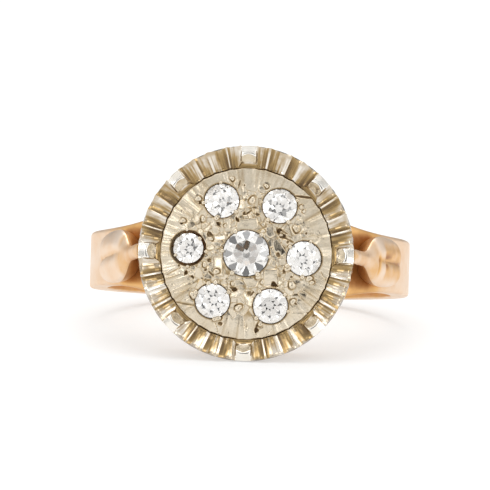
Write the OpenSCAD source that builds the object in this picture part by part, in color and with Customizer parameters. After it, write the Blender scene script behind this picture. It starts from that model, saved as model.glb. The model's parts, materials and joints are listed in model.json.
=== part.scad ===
// Cluster ring. A rose gold shank with a heart on each shoulder carries a round
// white gold head. Eight tongues and a fluted border frame the head's domed plate,
// in which seven round brilliants sit between raised grains.
//
// Each piece is drawn on the ring's own axes: X across the ring, Y along the finger
// and Z out through the head, from the centre of the finger hole. The finished ring
// is then laid on its side, on the rim of the head and the back of the band.

/* [Finger hole] */
// Radius of the finger hole
finger_r = 8.7; // [8:0.1:10]

/* [Band] */
// Thickness of the band
band_t = 1.1; // [0.9:0.05:1.4]
// Width of the band at its sides
band_w = 3.4; // [3:0.1:4]
// Width of the band at its back
back_w = 3; // [2.4:0.1:3.4]

/* [Shoulders] */
// Distance from the band's outermost point in to the start of a shoulder's flare
flare_in = 0.5; // [0.3:0.1:1]

/* [Collar] */
// Outer radius of the collar that carries the head
collar_r = 5; // [4.7:0.05:5.3]
// Wall of the collar
collar_wall = 0.7; // [0.5:0.05:0.9]
// Height of the collar above the band
collar_h = 0.3; // [0.2:0.05:0.8]
// Solder seam between the two golds
seam = 0.02; // [0.01:0.01:0.04]

/* [Hearts] */
// Place of a heart's outer end round the band, in degrees from the head
heart_at = 65; // [60:1:68]
// Height of the line on which a heart climbs, above the band at its outer end
heart_lift = 0.1; // [0.05:0.01:0.15]
// Width of a heart
heart_w = 3.2; // [2.8:0.1:3.4]
// Height of a heart's lobes above its line
heart_h = 0.6; // [0.45:0.05:0.75]
// Depth of a heart under its line
heart_deep = 1.1; // [0.9:0.05:1.3]
// Depth of the cleft between the lobes
cleft_d = 0.35; // [0.2:0.05:0.4]
// Width of the neck that joins a heart to the head
neck_w = 0.86; // [0.7:0.02:1]
// Thickness of the neck
neck_t = 0.7; // [0.6:0.05:0.8]

/* [Head] */
// Outer radius of the head
head_r = 6.45; // [6.2:0.05:6.8]
// Height of the head from the collar to the crest of its rim
head_h = 1.95; // [1.8:0.05:2.3]
// Upright side of the rim
rim_h = 0.4; // [0.3:0.05:0.5]
// Width of the rim outside the flutes
rim_w = 0.2; // [0.15:0.01:0.25]

/* [Plate] */
// Radius of the plate
plate_r = 5.15; // [5.05:0.05:5.25]
// Rise of the plate from its edge to its middle
dome_h = 0.55; // [0.4:0.05:0.8]
// Thickness of the plate
plate_t = 0.9; // [0.8:0.05:1]
// Depth of the plate's edge below the crest of the rim
plate_drop = 0.65; // [0.5:0.05:0.8]
// Step from the plate's edge down to the foot of the flutes
plate_step = 0.3; // [0.2:0.05:0.4]

/* [Border] */
// Tongues round the border
tongue_n = 8; // [8:1:8]
// Width of a tongue
tongue_w = 0.85; // [0.7:0.05:1]
// Height of a tongue's crest above the rim
tongue_rise = 0.05; // [0:0.01:0.1]
// Flutes between two tongues
flute_n = 4; // [3:1:5]
// Depth of a flute at its foot
flute_d = 0.2; // [0.1:0.02:0.24]
// Radius of a flute's round bottom at its foot
flute_r = 0.5; // [0.4:0.05:0.6]

/* [Stones] */
// Diameter of the centre stone
centre_d = 2.7; // [2.4:0.05:2.9]
// Diameter of the side stones
side_d = 2.04; // [1.8:0.02:2.1]
// Distance of the side stones from the middle of the head
side_at = 3.48; // [3.4:0.01:3.55]
// Turn of the ring of side stones against the shank
side_turn = -3.6; // [-6:0.1:0]
// Depth of a stone's girdle under the plate
stone_sink = 0.06; // [0.04:0.01:0.1]
// Gap between a stone and its seat
stone_gap = 0.05; // [0.03:0.01:0.08]

/* [Grains] */
// Radius of the grains that hold the stones
grain_r = 0.16; // [0.12:0.01:0.18]
// Grains round the centre stone
centre_grains = 6; // [4:1:8]
// Grains round each side stone
side_grains = 4; // [3:1:6]

/* [Hidden] */

rose_gold = [0.87, 0.65, 0.47];
white_gold = [0.78, 0.74, 0.66];
diamond = [0.94, 0.95, 0.97];

round_fn = 96;
small_fn = 32;
outline_n = 24;
past = 1;

band_r = finger_r + band_t;

// Seen from the head, a shoulder flares in an arc that starts along the band's edge
// and ends just inside the collar's round wall.
flare_x = band_r - flare_in;
join_r = collar_r - 0.2;
flare_r = (pow(flare_x, 2) + pow(band_w / 2, 2) - pow(join_r, 2)) / (2 * join_r - band_w);
saddle_w = (band_w + 2 * flare_r) * join_r / (join_r + flare_r);
seat_z = band_r + collar_h;
head_z = seat_z + seam;
crest_z = head_z + head_h;
rim_z = crest_z - rim_h;
crest_r = head_r - rim_w;
hollow_r = collar_r - collar_wall;

plate_z = crest_z - plate_drop;
foot_z = plate_z - plate_step;
dome_r = (plate_r * plate_r + dome_h * dome_h) / (2 * dome_h);
dome_z = plate_z + dome_h - dome_r;

side_n = 6;
side_tilt = asin(side_at / dome_r);
// Share of the side stones' diameter that each one has, from the right and upwards
side_share = [1, 1, 1, 0.88, 1, 1];

// Shares of a round brilliant's diameter
table_share = 0.57;
star_share = 0.78;
crown_share = 0.15;
girdle_share = 0.03;
pavilion_share = 0.43;
lower_share = 0.22;
cut_n = 8;
// Share of a seat's diameter that is open at the back
seat_back_share = 0.55;
// Place of a grain's centre outside the girdle and above the plate, as shares of its radius
grain_out = 0.8;
grain_up = 0.3;

// The ring rests on the foot of the rim and on the edge of the band's back.
lie_tilt = atan2(head_r - back_w / 2, rim_z + band_r);

module lying() {
    rotate([90 - lie_tilt, 0, 0]) children();
}

module along_finger(r, l) {
    rotate([90, 0, 0]) cylinder(r = r, h = l, center = true, $fn = round_fn);
}

// Sets children that stand on the origin, along Z, on one point and aims them at another.
module aimed(from, to) {
    run = to - from;
    translate(from) rotate([0, acos(run[2] / norm(run)), atan2(run[1], run[0])]) children();
}

// Cone between two points.
module taper(from, to, r1, r2) {
    aimed(from, to) cylinder(r1 = r1, r2 = r2, h = norm(to - from), $fn = small_fn);
}

// Shank

module near_outline() {
    translate([0, 0, band_r / 2 + past / 2])
        cube([2 * band_r + past, band_w, band_r + past], center = true);
    difference() {
        translate([0, 0, band_r / 2 + past / 2])
            cube([2 * flare_x, saddle_w, band_r + past], center = true);
        for (x = [-1, 1], y = [-1, 1])
            translate([x * flare_x, y * (band_w / 2 + flare_r), -past])
                cylinder(r = flare_r, h = band_r + 3 * past, $fn = 2 * round_fn);
    }
}

module far_outline() {
    slope = (band_w - back_w) / (2 * band_r);
    low = -band_r - past;
    low_w = back_w / 2 - past * slope;
    rotate([90, 0, 90])
        linear_extrude(height = 2 * band_r + past, center = true)
            polygon([
                [-band_w / 2, 0], [-low_w, low], [low_w, low], [band_w / 2, 0],
            ]);
}

module band() {
    intersection() {
        along_finger(band_r, saddle_w + past);
        union() {
            near_outline();
            far_outline();
        }
    }
}

module collar() {
    cylinder(r = collar_r, h = seat_z, $fn = round_fn);
}

// A heart climbs from the band to the head's rim on a smooth curve of four points.
heart_out = (band_r + heart_lift) * [sin(heart_at), 0, cos(heart_at)];
heart_top = [head_r, 0, rim_z + rim_h / 2];
climb = norm(heart_top - heart_out);
climb_pull = 0.32;
neck_lean = 0.1;
climb_route = [
    heart_out,
    heart_out + climb_pull * climb * [-cos(heart_at), 0, sin(heart_at)],
    heart_top + climb_pull * climb * [neck_lean, 0, -1],
    heart_top,
];

// Each row is a section of the heart's body, from its outer end inwards. Columns: place
// on the curve, then half width, height, cleft and depth as shares of the heart's own
AT = 0;
HALF_W = 1;
HIGH = 2;
CLEFT = 3;
DEEP = 4;
heart_body = [
    [0.00, 0.42, 0.25, 0.5, 0.5],
    [0.03, 0.66, 0.50, 1.0, 0.6],
    [0.09, 0.82, 0.70, 1.0, 0.6],
    [0.20, 0.95, 0.90, 0.9, 0.7],
    [0.33, 1.00, 1.00, 0.8, 0.9],
    [0.44, 0.97, 1.00, 0.5, 1.2],
    [0.51, 0.86, 0.90, 0.0, 1.3],
    [0.56, 0.66, 0.75, 0.0, 1.1],
];
// Places on the curve of the neck's sections
neck_at = [0.61, 0.7, 0.85, 1];

function curve(s) =
    let (u = 1 - s, p = climb_route)
    u * u * u * p[0] + 3 * u * u * s * p[1] + 3 * u * s * s * p[2] + s * s * s * p[3];

function heading(s) =
    let (d = curve(s + 0.01) - curve(s - 0.01))
    d / norm(d);

// Closed outline round the curve at s. The cleft's bottom also lies further in.
function outline(s, half_w, high, deep, cleft) =
    let (ahead = heading(s), up = [ahead[2], 0, -ahead[0]])
    [
        for (i = [0:outline_n - 1])
            let (
                t = i * 360 / outline_n,
                mid = i == outline_n / 4 ? cleft : 0,
                rise = sin(t) * (sin(t) > 0 ? high : deep) - mid
            )
            curve(s) + up * rise + ahead * mid + [0, half_w * cos(t), 0]
    ];

function middle(ring) = [for (axis = [0:2]) sum([for (p = ring) p[axis]]) / len(ring)];
function sum(v, i = 0) = i == len(v) ? 0 : v[i] + sum(v, i + 1);

// Closed solid through rings of equally many points, with a fan of triangles at each end.
module loft(rings) {
    n = len(rings[0]);
    last = len(rings) - 1;
    back = n * (last + 1);
    polyhedron(
        points = concat(
            [for (ring = rings) each ring],
            [middle(rings[0]), middle(rings[last])]
        ),
        faces = concat(
            [for (i = [0:n - 1]) [back, (i + 1) % n, i]],
            [
                for (k = [0:last - 1], i = [0:n - 1], half = [0, 1])
                    half == 0
                        ? [k * n + i, k * n + (i + 1) % n, (k + 1) * n + i]
                        : [k * n + (i + 1) % n, (k + 1) * n + (i + 1) % n, (k + 1) * n + i]
            ],
            [for (i = [0:n - 1]) [back + 1, last * n + i, last * n + (i + 1) % n]]
        )
    );
}

module heart() {
    body = [
        for (row = heart_body)
            outline(
                row[AT], row[HALF_W] * heart_w / 2, row[HIGH] * heart_h,
                row[DEEP] * heart_deep, row[CLEFT] * cleft_d
            )
    ];
    neck = [
        for (s = neck_at)
            outline(s, neck_w / 2, neck_t / 2, neck_t / 2, 0)
    ];
    loft(concat(body, neck));
}

module shank_on_axes() {
    difference() {
        union() {
            band();
            collar();
            for (turn = [0, 180]) rotate([0, 0, turn]) heart();
        }
        along_finger(finger_r, 2 * head_r);
        cylinder(r = hollow_r, h = seat_z + past, $fn = round_fn);
        head_room();
    }
}

// Space of the head, a seam larger, that the shank keeps free
module head_room() {
    rotate_extrude($fn = round_fn)
        polygon([
            [0, seat_z], [collar_r + seam, seat_z], [head_r + seam, rim_z],
            [head_r + seam, crest_z + past], [0, crest_z + past],
        ]);
}

module shank() {
    color(rose_gold) lying() shank_on_axes();
}

// Setting

module cup() {
    rotate_extrude($fn = round_fn)
        polygon([
            [0, head_z], [collar_r, head_z], [head_r, rim_z],
            [head_r, crest_z - rim_w / 2], [head_r - rim_w / 2, crest_z],
            [crest_r, crest_z], [plate_r, foot_z], [0, foot_z],
        ]);
}

// Cuts one flute into the border's slope, deep at the plate and running out at the rim.
module flute() {
    foot = [plate_r, 0, foot_z - flute_d];
    out = [crest_r, 0, crest_z - flute_d / 2];
    run = out - foot;
    aim = run / norm(run);
    up = [-aim[2], 0, aim[0]];
    out_r = 2 * flute_r;
    taper(foot + up * flute_r, out + aim * rim_w + up * out_r, flute_r, out_r);
}

module fluted_cup() {
    step = 360 / tongue_n;
    tongue_span = 2 * asin(tongue_w / (plate_r + head_r));
    pitch = (step - tongue_span) / flute_n;
    difference() {
        cup();
        for (k = [0:tongue_n - 1], i = [0:flute_n - 1])
            rotate([0, 0, (k + 0.5) * step + (i - (flute_n - 1) / 2) * pitch])
                flute();
    }
}

// A tongue's upper line, from its root at the plate to its crest near the rim. Columns:
// place across the border and depth under the rim, as a share of the plate's
ACROSS = 0;
UNDER = 1;
tongue_line = [
    [0.00, 1.00],
    [0.15, 1.08],
    [0.45, 0.30],
];
tongue_crest_at = 0.65;
tongue_end_at = 0.85;
// Reach of a tongue's root into the plate
tongue_root = 0.1;

module tongues() {
    border_w = head_r - plate_r;
    intersection() {
        rotate_extrude($fn = round_fn)
            polygon(concat(
                [[plate_r - tongue_root, foot_z], [plate_r - tongue_root, plate_z]],
                [
                    for (row = tongue_line)
                        [plate_r + row[ACROSS] * border_w, crest_z - row[UNDER] * plate_drop]
                ],
                [
                    [plate_r + tongue_crest_at * border_w, crest_z + tongue_rise],
                    [plate_r + tongue_end_at * border_w, crest_z],
                    [head_r, crest_z - rim_h / 2],
                    [head_r, rim_z],
                ]
            ));
        for (k = [0:tongue_n / 2 - 1])
            rotate([0, 0, k * 360 / tongue_n])
                translate([0, 0, crest_z])
                    cube([2 * head_r + past, tongue_w, 4 * past], center = true);
    }
}

module plate() {
    intersection() {
        translate([0, 0, dome_z]) sphere(r = dome_r, $fn = 4 * round_fn);
        translate([0, 0, head_z])
            cylinder(r = plate_r, h = head_h + dome_h, $fn = round_fn);
    }
}

module under_plate() {
    intersection() {
        translate([0, 0, dome_z]) sphere(r = dome_r - plate_t, $fn = 4 * round_fn);
        translate([0, 0, head_z - past])
            cylinder(r = hollow_r, h = head_h + past, $fn = round_fn);
    }
}

// Puts its children on the dome, girdle down by the stone's sink, table outwards.
module at_side(k) {
    translate([0, 0, dome_z])
        rotate([0, 0, side_turn + k * 360 / side_n])
            rotate([0, side_tilt, 0])
                translate([0, 0, dome_r - stone_sink])
                    children();
}

module at_centre() {
    translate([0, 0, dome_z + dome_r - stone_sink]) children();
}

// Bored from above: a straight wall down to the girdle, a cone, and an open back.
module seat(d) {
    r = d / 2 + stone_gap;
    wall_z = -girdle_share * d - stone_gap;
    back_r = seat_back_share * r;
    back_z = wall_z - pavilion_share * d * (1 - seat_back_share);
    rotate_extrude($fn = 2 * small_fn)
        polygon([
            [0, past], [r, past], [r, wall_z], [back_r, back_z],
            [back_r, -plate_t - past], [0, -plate_t - past],
        ]);
}

// Grains round a stone, cut away where its crown lies under them.
module grains(d, n, turn) {
    r = d / 2 + stone_gap;
    difference() {
        for (i = [0:n - 1])
            rotate([0, 0, turn + i * 360 / n])
                translate([d / 2 + grain_out * grain_r, 0, stone_sink + grain_up * grain_r])
                    sphere(r = grain_r, $fn = small_fn);
        rotate_extrude($fn = 2 * small_fn)
            polygon([
                [0, -girdle_share * d], [r, -girdle_share * d], [r, 0],
                [table_share * d / 2 + stone_gap, crown_share * d], [0, crown_share * d],
            ]);
    }
}

module setting_on_axes() {
    difference() {
        union() {
            fluted_cup();
            tongues();
            plate();
        }
        under_plate();
        at_centre() seat(centre_d);
        for (k = [0:side_n - 1]) at_side(k) seat(side_d);
    }
    at_centre() grains(centre_d, centre_grains, side_turn + 180 / side_n);
    for (k = [0:side_n - 1]) at_side(k) grains(side_d, side_grains, 180 / side_grains);
}

module setting() {
    color(white_gold) lying() setting_on_axes();
}

// Stones

function spot(r, step, z) = [r * cos(step * 180 / cut_n), r * sin(step * 180 / cut_n), z];

// Round brilliant: eight kites, eight stars and sixteen upper girdle facets above the
// girdle, eight mains and sixteen lower girdle facets below it.
module brilliant(d) {
    r = d / 2;
    table_r = table_share * r;
    crown_h = crown_share * d;
    half = cos(180 / cut_n);
    star_z = crown_h * (r - star_share * r * half) / (r - table_r);
    low_z = -girdle_share * d;
    culet_z = low_z - pavilion_share * d;
    lower_z = culet_z + lower_share * r * half * (low_z - culet_z) / r;
    n = cut_n;
    table = [for (k = [0:n - 1]) spot(table_r, 2 * k, crown_h)];
    stars = [for (k = [0:n - 1]) spot(star_share * r, 2 * k + 1, star_z)];
    girdle = [for (k = [0:2 * n - 1]) spot(r, k, 0)];
    under = [for (k = [0:2 * n - 1]) spot(r, k, low_z)];
    lower = [for (k = [0:n - 1]) spot(lower_share * r, 2 * k + 1, lower_z)];
    star_0 = n;
    girdle_0 = 2 * n;
    under_0 = 4 * n;
    lower_0 = 6 * n;
    culet = 7 * n;
    function star(k) = star_0 + (k + n) % n;
    function rim(k) = girdle_0 + (k + 2 * n) % (2 * n);
    function bottom(k) = under_0 + (k + 2 * n) % (2 * n);
    function main(k) = lower_0 + (k + n) % n;
    polyhedron(
        points = concat(table, stars, girdle, under, lower, [[0, 0, culet_z]]),
        faces = concat(
            [[for (k = [n - 1:-1:0]) k]],
            [for (k = [0:n - 1]) [k, (k + 1) % n, star(k)]],
            [for (k = [0:n - 1]) [k, star(k), rim(2 * k), star(k - 1)]],
            [for (k = [0:n - 1]) [star(k), rim(2 * k + 1), rim(2 * k)]],
            [for (k = [0:n - 1]) [star(k), rim(2 * k + 2), rim(2 * k + 1)]],
            [for (k = [0:2 * n - 1]) [rim(k), rim(k + 1), bottom(k + 1), bottom(k)]],
            [for (k = [0:n - 1]) [main(k), bottom(2 * k), bottom(2 * k + 1)]],
            [for (k = [0:n - 1]) [main(k), bottom(2 * k + 1), bottom(2 * k + 2)]],
            [for (k = [0:n - 1]) [culet, main(k - 1), bottom(2 * k), main(k)]]
        )
    );
}

module centre_stone() {
    color(diamond) lying() at_centre() brilliant(centre_d);
}

module side_stone(k) {
    color(diamond) lying() at_side(k) brilliant(side_d * side_share[k]);
}

shank();
setting();
centre_stone();
side_stone(0);  // side_stone_1
side_stone(1);  // side_stone_2
side_stone(2);  // side_stone_3
side_stone(3);  // side_stone_4
side_stone(4);  // side_stone_5
side_stone(5);  // side_stone_6
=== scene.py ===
# %% [markdown]
# # A cluster ring in two golds
#
# This lesson dresses a cluster ring: a rose gold shank with a heart on each shoulder, and a
# round white gold head in which seven brilliants sit. The solids that give the ring its real
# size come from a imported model. Here the same pieces get the finish of the bench: gouged
# flutes, bright cuts, grains, true facets, polish and dirt.

import json
import math

import bmesh
import bpy
import numpy as np
from mathutils import Matrix, Vector, geometry


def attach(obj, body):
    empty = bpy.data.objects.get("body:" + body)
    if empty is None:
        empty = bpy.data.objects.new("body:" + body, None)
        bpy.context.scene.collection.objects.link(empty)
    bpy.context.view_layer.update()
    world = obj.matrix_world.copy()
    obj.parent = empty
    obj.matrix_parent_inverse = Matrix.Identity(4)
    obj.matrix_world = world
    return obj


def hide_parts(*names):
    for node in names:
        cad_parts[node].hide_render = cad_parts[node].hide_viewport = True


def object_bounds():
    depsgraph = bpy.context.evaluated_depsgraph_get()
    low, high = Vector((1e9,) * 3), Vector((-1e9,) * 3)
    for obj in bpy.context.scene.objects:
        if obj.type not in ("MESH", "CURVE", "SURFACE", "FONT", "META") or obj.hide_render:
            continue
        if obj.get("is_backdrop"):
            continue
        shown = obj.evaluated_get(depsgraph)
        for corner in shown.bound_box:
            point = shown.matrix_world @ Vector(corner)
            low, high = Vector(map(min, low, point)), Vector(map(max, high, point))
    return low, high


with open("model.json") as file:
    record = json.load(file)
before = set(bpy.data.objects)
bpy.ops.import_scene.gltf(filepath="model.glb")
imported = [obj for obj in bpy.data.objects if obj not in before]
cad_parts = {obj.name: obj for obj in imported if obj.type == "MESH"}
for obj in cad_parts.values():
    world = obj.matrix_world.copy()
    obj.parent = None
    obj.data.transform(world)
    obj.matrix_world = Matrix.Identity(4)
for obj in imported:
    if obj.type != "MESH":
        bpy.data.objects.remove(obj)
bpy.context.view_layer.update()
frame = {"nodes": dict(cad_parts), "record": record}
print("solids:", sorted(frame["nodes"]))

# %% [markdown]
# ## The ring's own axes
#
# The ring lies on its side, on the rim of its head and the back of its band. It could be
# modelled as it lies, but its own axes are easier to think in: X across the ring, Y along
# the finger and Z out through the head, in millimetres. One function then lays every
# finished mesh down, and another reads a solid back. The angle comes from the finger hole's
# axis, which the record states, so it can't drift away from the solids.

# %% Sizes in millimetres
MM = 0.001
bore = next(m for m in frame["record"]["mounts"] if m["name"] == "finger_bore")
TILT = math.atan2(bore["axis"][1], bore["axis"][2])

FINGER_R = bore["dims"]["r_mm"]
BAND_T = 1.1
COLLAR_R = 5.0
COLLAR_WALL = 0.7
COLLAR_H = 0.3
SEAM = 0.02
HEAD_R = 6.45
HEAD_H = 1.95
PLATE_R = 5.15
PLATE_T = 0.9
PLATE_DROP = 0.65
DOME_H = 0.55

BAND_R = FINGER_R + BAND_T
HEAD_Z = BAND_R + COLLAR_H + SEAM
CREST_Z = HEAD_Z + HEAD_H
PLATE_Z = CREST_Z - PLATE_DROP
HOLLOW_R = COLLAR_R - COLLAR_WALL
DOME_R = (PLATE_R ** 2 + DOME_H ** 2) / (2 * DOME_H)
DOME_Z = PLATE_Z + DOME_H - DOME_R
print(f"tilt {math.degrees(TILT):.1f} degrees, crest at {CREST_Z:.2f} mm")

# %% Lay points down and read them back


def lay(points):
    """Lays points from the ring's axes, in mm, down in the frame, in metres."""
    x, y, z = np.moveaxis(np.asarray(points, float), -1, 0)
    s, c = math.sin(TILT), math.cos(TILT)
    return MM * np.stack([x, y * s - z * c, y * c + z * s], -1)


def on_axes(mesh):
    """The corners of a mesh that is laid down, read back on the ring's axes, in mm."""
    x, y, z = np.array([v.co for v in mesh.vertices]).T / MM
    s, c = math.sin(TILT), math.cos(TILT)
    return np.stack([x, y * s + z * c, -y * c + z * s], 1)


def circle(r, n):
    """Points round a circle, level with the axes' middle."""
    a = np.linspace(0, 2 * math.pi, n, endpoint=False)
    return np.stack([r * np.cos(a), r * np.sin(a), np.zeros(n)], 1)


print("the crest's middle lies at", lay([0, 0, CREST_Z]).round(4).tolist())

# %% [markdown]
# ## Curves and chance
#
# Handwork has soft edges and small accidents. Noise textures could give both, but then they
# are only painted on. These helpers put them in the mesh itself. `smooth_step` blends without
# a crease between two places, `smooth_line` reads a short table of points as a rounded curve,
# and `speckle` is a soft random field with its own seed, so that the script makes the same
# ring each time.

# %% Helpers for curves and chance


def smooth_step(low, high, x):
    """0 at low and 1 at high, with a soft blend between; low may be the greater one."""
    t = np.clip((x - low) / (high - low), 0, 1)
    return t * t * (3 - 2 * t)


def smooth_line(table, x, blur):
    """Reads (place, value) rows as a line whose corners are rounded over the blur."""
    at, value = np.array(table, float).T
    shifts = np.linspace(-blur, blur, 9)
    return np.mean([np.interp(x + s, at, value) for s in shifts], axis=0)


def speckle(u, v, seed, size=128):
    """Soft random values from -1 to 1, one unit of u or v to a spot."""
    grid = np.random.default_rng(seed).uniform(-1, 1, (size, size))
    iu, iv = np.floor(u).astype(int), np.floor(v).astype(int)
    fu, fv = smooth_step(0, 1, u - iu), smooth_step(0, 1, v - iv)
    a, b = grid[iu % size, iv % size], grid[(iu + 1) % size, iv % size]
    c, d = grid[iu % size, (iv + 1) % size], grid[(iu + 1) % size, (iv + 1) % size]
    return (a * (1 - fu) + b * fu) * (1 - fv) + (c * (1 - fu) + d * fu) * fv


print(f"a spot of chance: {speckle(np.array([0.5]), np.array([0.5]), seed=1)[0]:.2f}")

# %% [markdown]
# ## From points to a piece
#
# Every piece keeps two extra attributes: where each point lies on the ring's axes, which the
# materials use for their grain, and how much dirt and painted shade lie there. Objects could
# be joined one by one in Blender. Plain Python lists of points and faces are quicker, so the
# parts of a piece are collected first and become one mesh at the end.

# %% A builder for meshes


class Parts:
    """Collects points, faces, and dirt and painted shade from several parts of one piece."""

    def __init__(self):
        self.points, self.dirt, self.faces, self.smooth = [], [], [], []

    def add(self, points, faces, dirt=0.0, smooth=True):
        start = sum(len(p) for p in self.points)
        points = np.asarray(points, float).reshape(-1, 3)
        self.points.append(points)
        self.dirt.append(np.broadcast_to(np.asarray(dirt, float), len(points)))
        self.faces += [tuple(int(i) + start for i in face) for face in faces]
        self.smooth += [smooth] * len(faces)

    def mesh(self, name, merge=0.0):
        """The finished mesh; points nearer than merge, in mm, become one."""
        points, dirt = np.concatenate(self.points), np.concatenate(self.dirt)
        mesh = bpy.data.meshes.new(name)
        mesh.from_pydata(lay(points).tolist(), [], self.faces)
        mesh.polygons.foreach_set("use_smooth", self.smooth)
        place = mesh.attributes.new("on_ring", "FLOAT_VECTOR", "POINT")
        place.data.foreach_set("vector", points.astype(np.float32).ravel())
        # This attribute holds dirt, and also painted shade and painted reflection.
        grime = mesh.attributes.new("dirt", "FLOAT", "POINT")
        grime.data.foreach_set("value", np.clip(dirt, 0, 1).astype(np.float32))
        if merge:
            work = bmesh.new()
            work.from_mesh(mesh)
            bmesh.ops.remove_doubles(work, verts=work.verts, dist=merge * MM)
            bmesh.ops.recalc_face_normals(work, faces=work.faces)
            work.to_mesh(mesh)
            work.free()
        mesh.update()
        return mesh


print("a piece's mesh starts with", len(Parts().points), "parts")

# %% Faces of a tube


def tube_faces(rows, columns, close=False):
    """Faces between rows of points that run right round."""
    faces = []
    for i in range(rows if close else rows - 1):
        this, following = i * columns, (i + 1) % rows * columns
        for j in range(columns):
            k = (j + 1) % columns
            faces.append((this + j, this + k, following + k, following + j))
    return faces


print("faces in a tube of 3 rows and 8 columns:", len(tube_faces(3, 8)))

# %% Put a piece on the ring


def put(name, data):
    """Makes an object of a mesh, a lamp or a camera and puts it in the scene."""
    made = bpy.data.objects.new(name, data)
    bpy.context.scene.collection.objects.link(made)
    return made


def show(mesh, replaced, material):
    """Makes a mesh a piece of the ring."""
    piece = put(mesh.name, mesh)
    mesh.materials.append(material)
    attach(piece, "root")
    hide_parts(*replaced)
    triangles = sum(len(p.vertices) - 2 for p in mesh.polygons)
    print(f"{mesh.name}: {triangles} triangles")
    return piece

# %% [markdown]
# ## Effects that the metals share
#
# Old gold is never one colour. Dirt fills the cuts, handling leaves fine scratches, and the
# polish is uneven. A painted picture could hold all that, but it would be tied to one ring.
# Noise and the value of dirt and painted shade at each point do it for any shape. The two
# effects are node groups with named inputs, built once and placed in each metal with its own
# values.

# %% Node helpers
SOCKET_KINDS = {
    type(None): "NodeSocketVector", float: "NodeSocketFloat", tuple: "NodeSocketColor",
}


def new_group(name, inputs, outputs):
    """A node group: an input is a colour, a number or, with no value, a place."""
    group = bpy.data.node_groups.new(name, "ShaderNodeTree")
    for label, value in inputs.items():
        kind = SOCKET_KINDS[type(value)]
        socket = group.interface.new_socket(label, in_out="INPUT", socket_type=kind)
        if value is not None:
            socket.default_value = value
    for label, kind in outputs.items():
        group.interface.new_socket(label, in_out="OUTPUT", socket_type=kind)
    return group, group.nodes.new("NodeGroupInput"), group.nodes.new("NodeGroupOutput")


def node(tree, kind, values=None, **settings):
    """A node with its settings and the values of its input sockets."""
    made = tree.nodes.new(kind)
    for key, value in settings.items():
        setattr(made, key, value)
    for key, value in (values or {}).items():
        made.inputs[key].default_value = value
    return made


def wire(tree, *links):
    """Joins sockets, each link as (from node, its output, to node, its input)."""
    for start, out, end, into in links:
        tree.links.new(start.outputs[out], end.inputs[into])


print("kinds of input:", len(SOCKET_KINDS))

# %% The group for scratches and uneven polish
SCRATCH_FINENESS = 7.0
POLISH, p_in, p_out = new_group(
    "uneven_polish",
    {"Place": None, "Size": 1.0, "Low": 0.1, "High": 0.3},
    {"Roughness": "NodeSocketFloat", "Height": "NodeSocketFloat"},
)
cloud = node(POLISH, "ShaderNodeTexNoise", {"Detail": 4.0, "Roughness": 0.6})
fine = node(POLISH, "ShaderNodeTexNoise", {"Detail": 3.0, "Roughness": 0.7})
finer = node(POLISH, "ShaderNodeMath", {1: SCRATCH_FINENESS}, operation="MULTIPLY")
spread = node(POLISH, "ShaderNodeMapRange", {"From Min": 0.3, "From Max": 0.7})
wire(
    POLISH,
    (p_in, "Place", cloud, "Vector"),
    (p_in, "Size", cloud, "Scale"),
    (p_in, "Place", fine, "Vector"),
    (p_in, "Size", finer, 0),
    (finer, 0, fine, "Scale"),
    (cloud, "Fac", spread, "Value"),
    (p_in, "Low", spread, "To Min"),
    (p_in, "High", spread, "To Max"),
    (spread, "Result", p_out, "Roughness"),
    (fine, "Fac", p_out, "Height"),
)
print(POLISH.name, "has nodes:", len(POLISH.nodes))

# %% [markdown]
# Dirt starts as a brown patina where it is thin and ends nearly black where it is thick, and
# it takes the metal's shine away as it grows. Noise breaks its edge up, but only where there
# is some dirt, so that clean metal stays clean and merely turns a little warmer in patches.
# The same value also carries painted shade and painted reflection, which take these colours.

# %% The group for dirt, painted shade and colour
BREAK_UP = 0.7
# This group turns a value of dirt and painted shade into colour and shine.
DIRT_AND_SHADE_GROUP, g_in, g_out = new_group(
    "settled_dirt",
    {
        "Clean": (0.8, 0.8, 0.8, 1), "Warm": (0.8, 0.6, 0.4, 1), "Patina_and_shade": (0.4, 0.3, 0.2, 1),
        "Dirty_and_shaded": (0.05, 0.03, 0.01, 1), "Place": None, "Size": 1.0, "Dirt_and_shade": 0.0,
    },
    {"Color": "NodeSocketColor", "Metal": "NodeSocketFloat"},
)
patch = node(DIRT_AND_SHADE_GROUP, "ShaderNodeTexNoise", {"Detail": 5.0, "Roughness": 0.65})
warmth = node(DIRT_AND_SHADE_GROUP, "ShaderNodeMapRange", {"From Min": 0.4, "From Max": 0.75, "To Max": 0.8})
tint = node(DIRT_AND_SHADE_GROUP, "ShaderNodeMix", data_type="RGBA")
broken = node(
    DIRT_AND_SHADE_GROUP, "ShaderNodeMath", {1: BREAK_UP, 2: -0.5 * BREAK_UP}, operation="MULTIPLY_ADD",
)
some = node(DIRT_AND_SHADE_GROUP, "ShaderNodeMapRange", {"From Min": 0.02, "From Max": 0.3})
only_dirty = node(DIRT_AND_SHADE_GROUP, "ShaderNodeMath", operation="MULTIPLY")
settled = node(DIRT_AND_SHADE_GROUP, "ShaderNodeMath", operation="ADD")
thin = node(DIRT_AND_SHADE_GROUP, "ShaderNodeMapRange", {"From Min": 0.0, "From Max": 0.5})
thick = node(DIRT_AND_SHADE_GROUP, "ShaderNodeMapRange", {"From Min": 0.5, "From Max": 1.0})
brown = node(DIRT_AND_SHADE_GROUP, "ShaderNodeMix", data_type="RGBA")
black = node(DIRT_AND_SHADE_GROUP, "ShaderNodeMix", data_type="RGBA")
metal = node(DIRT_AND_SHADE_GROUP, "ShaderNodeMapRange", {"From Min": 0.6, "To Min": 1.0, "To Max": 0.3})
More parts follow.
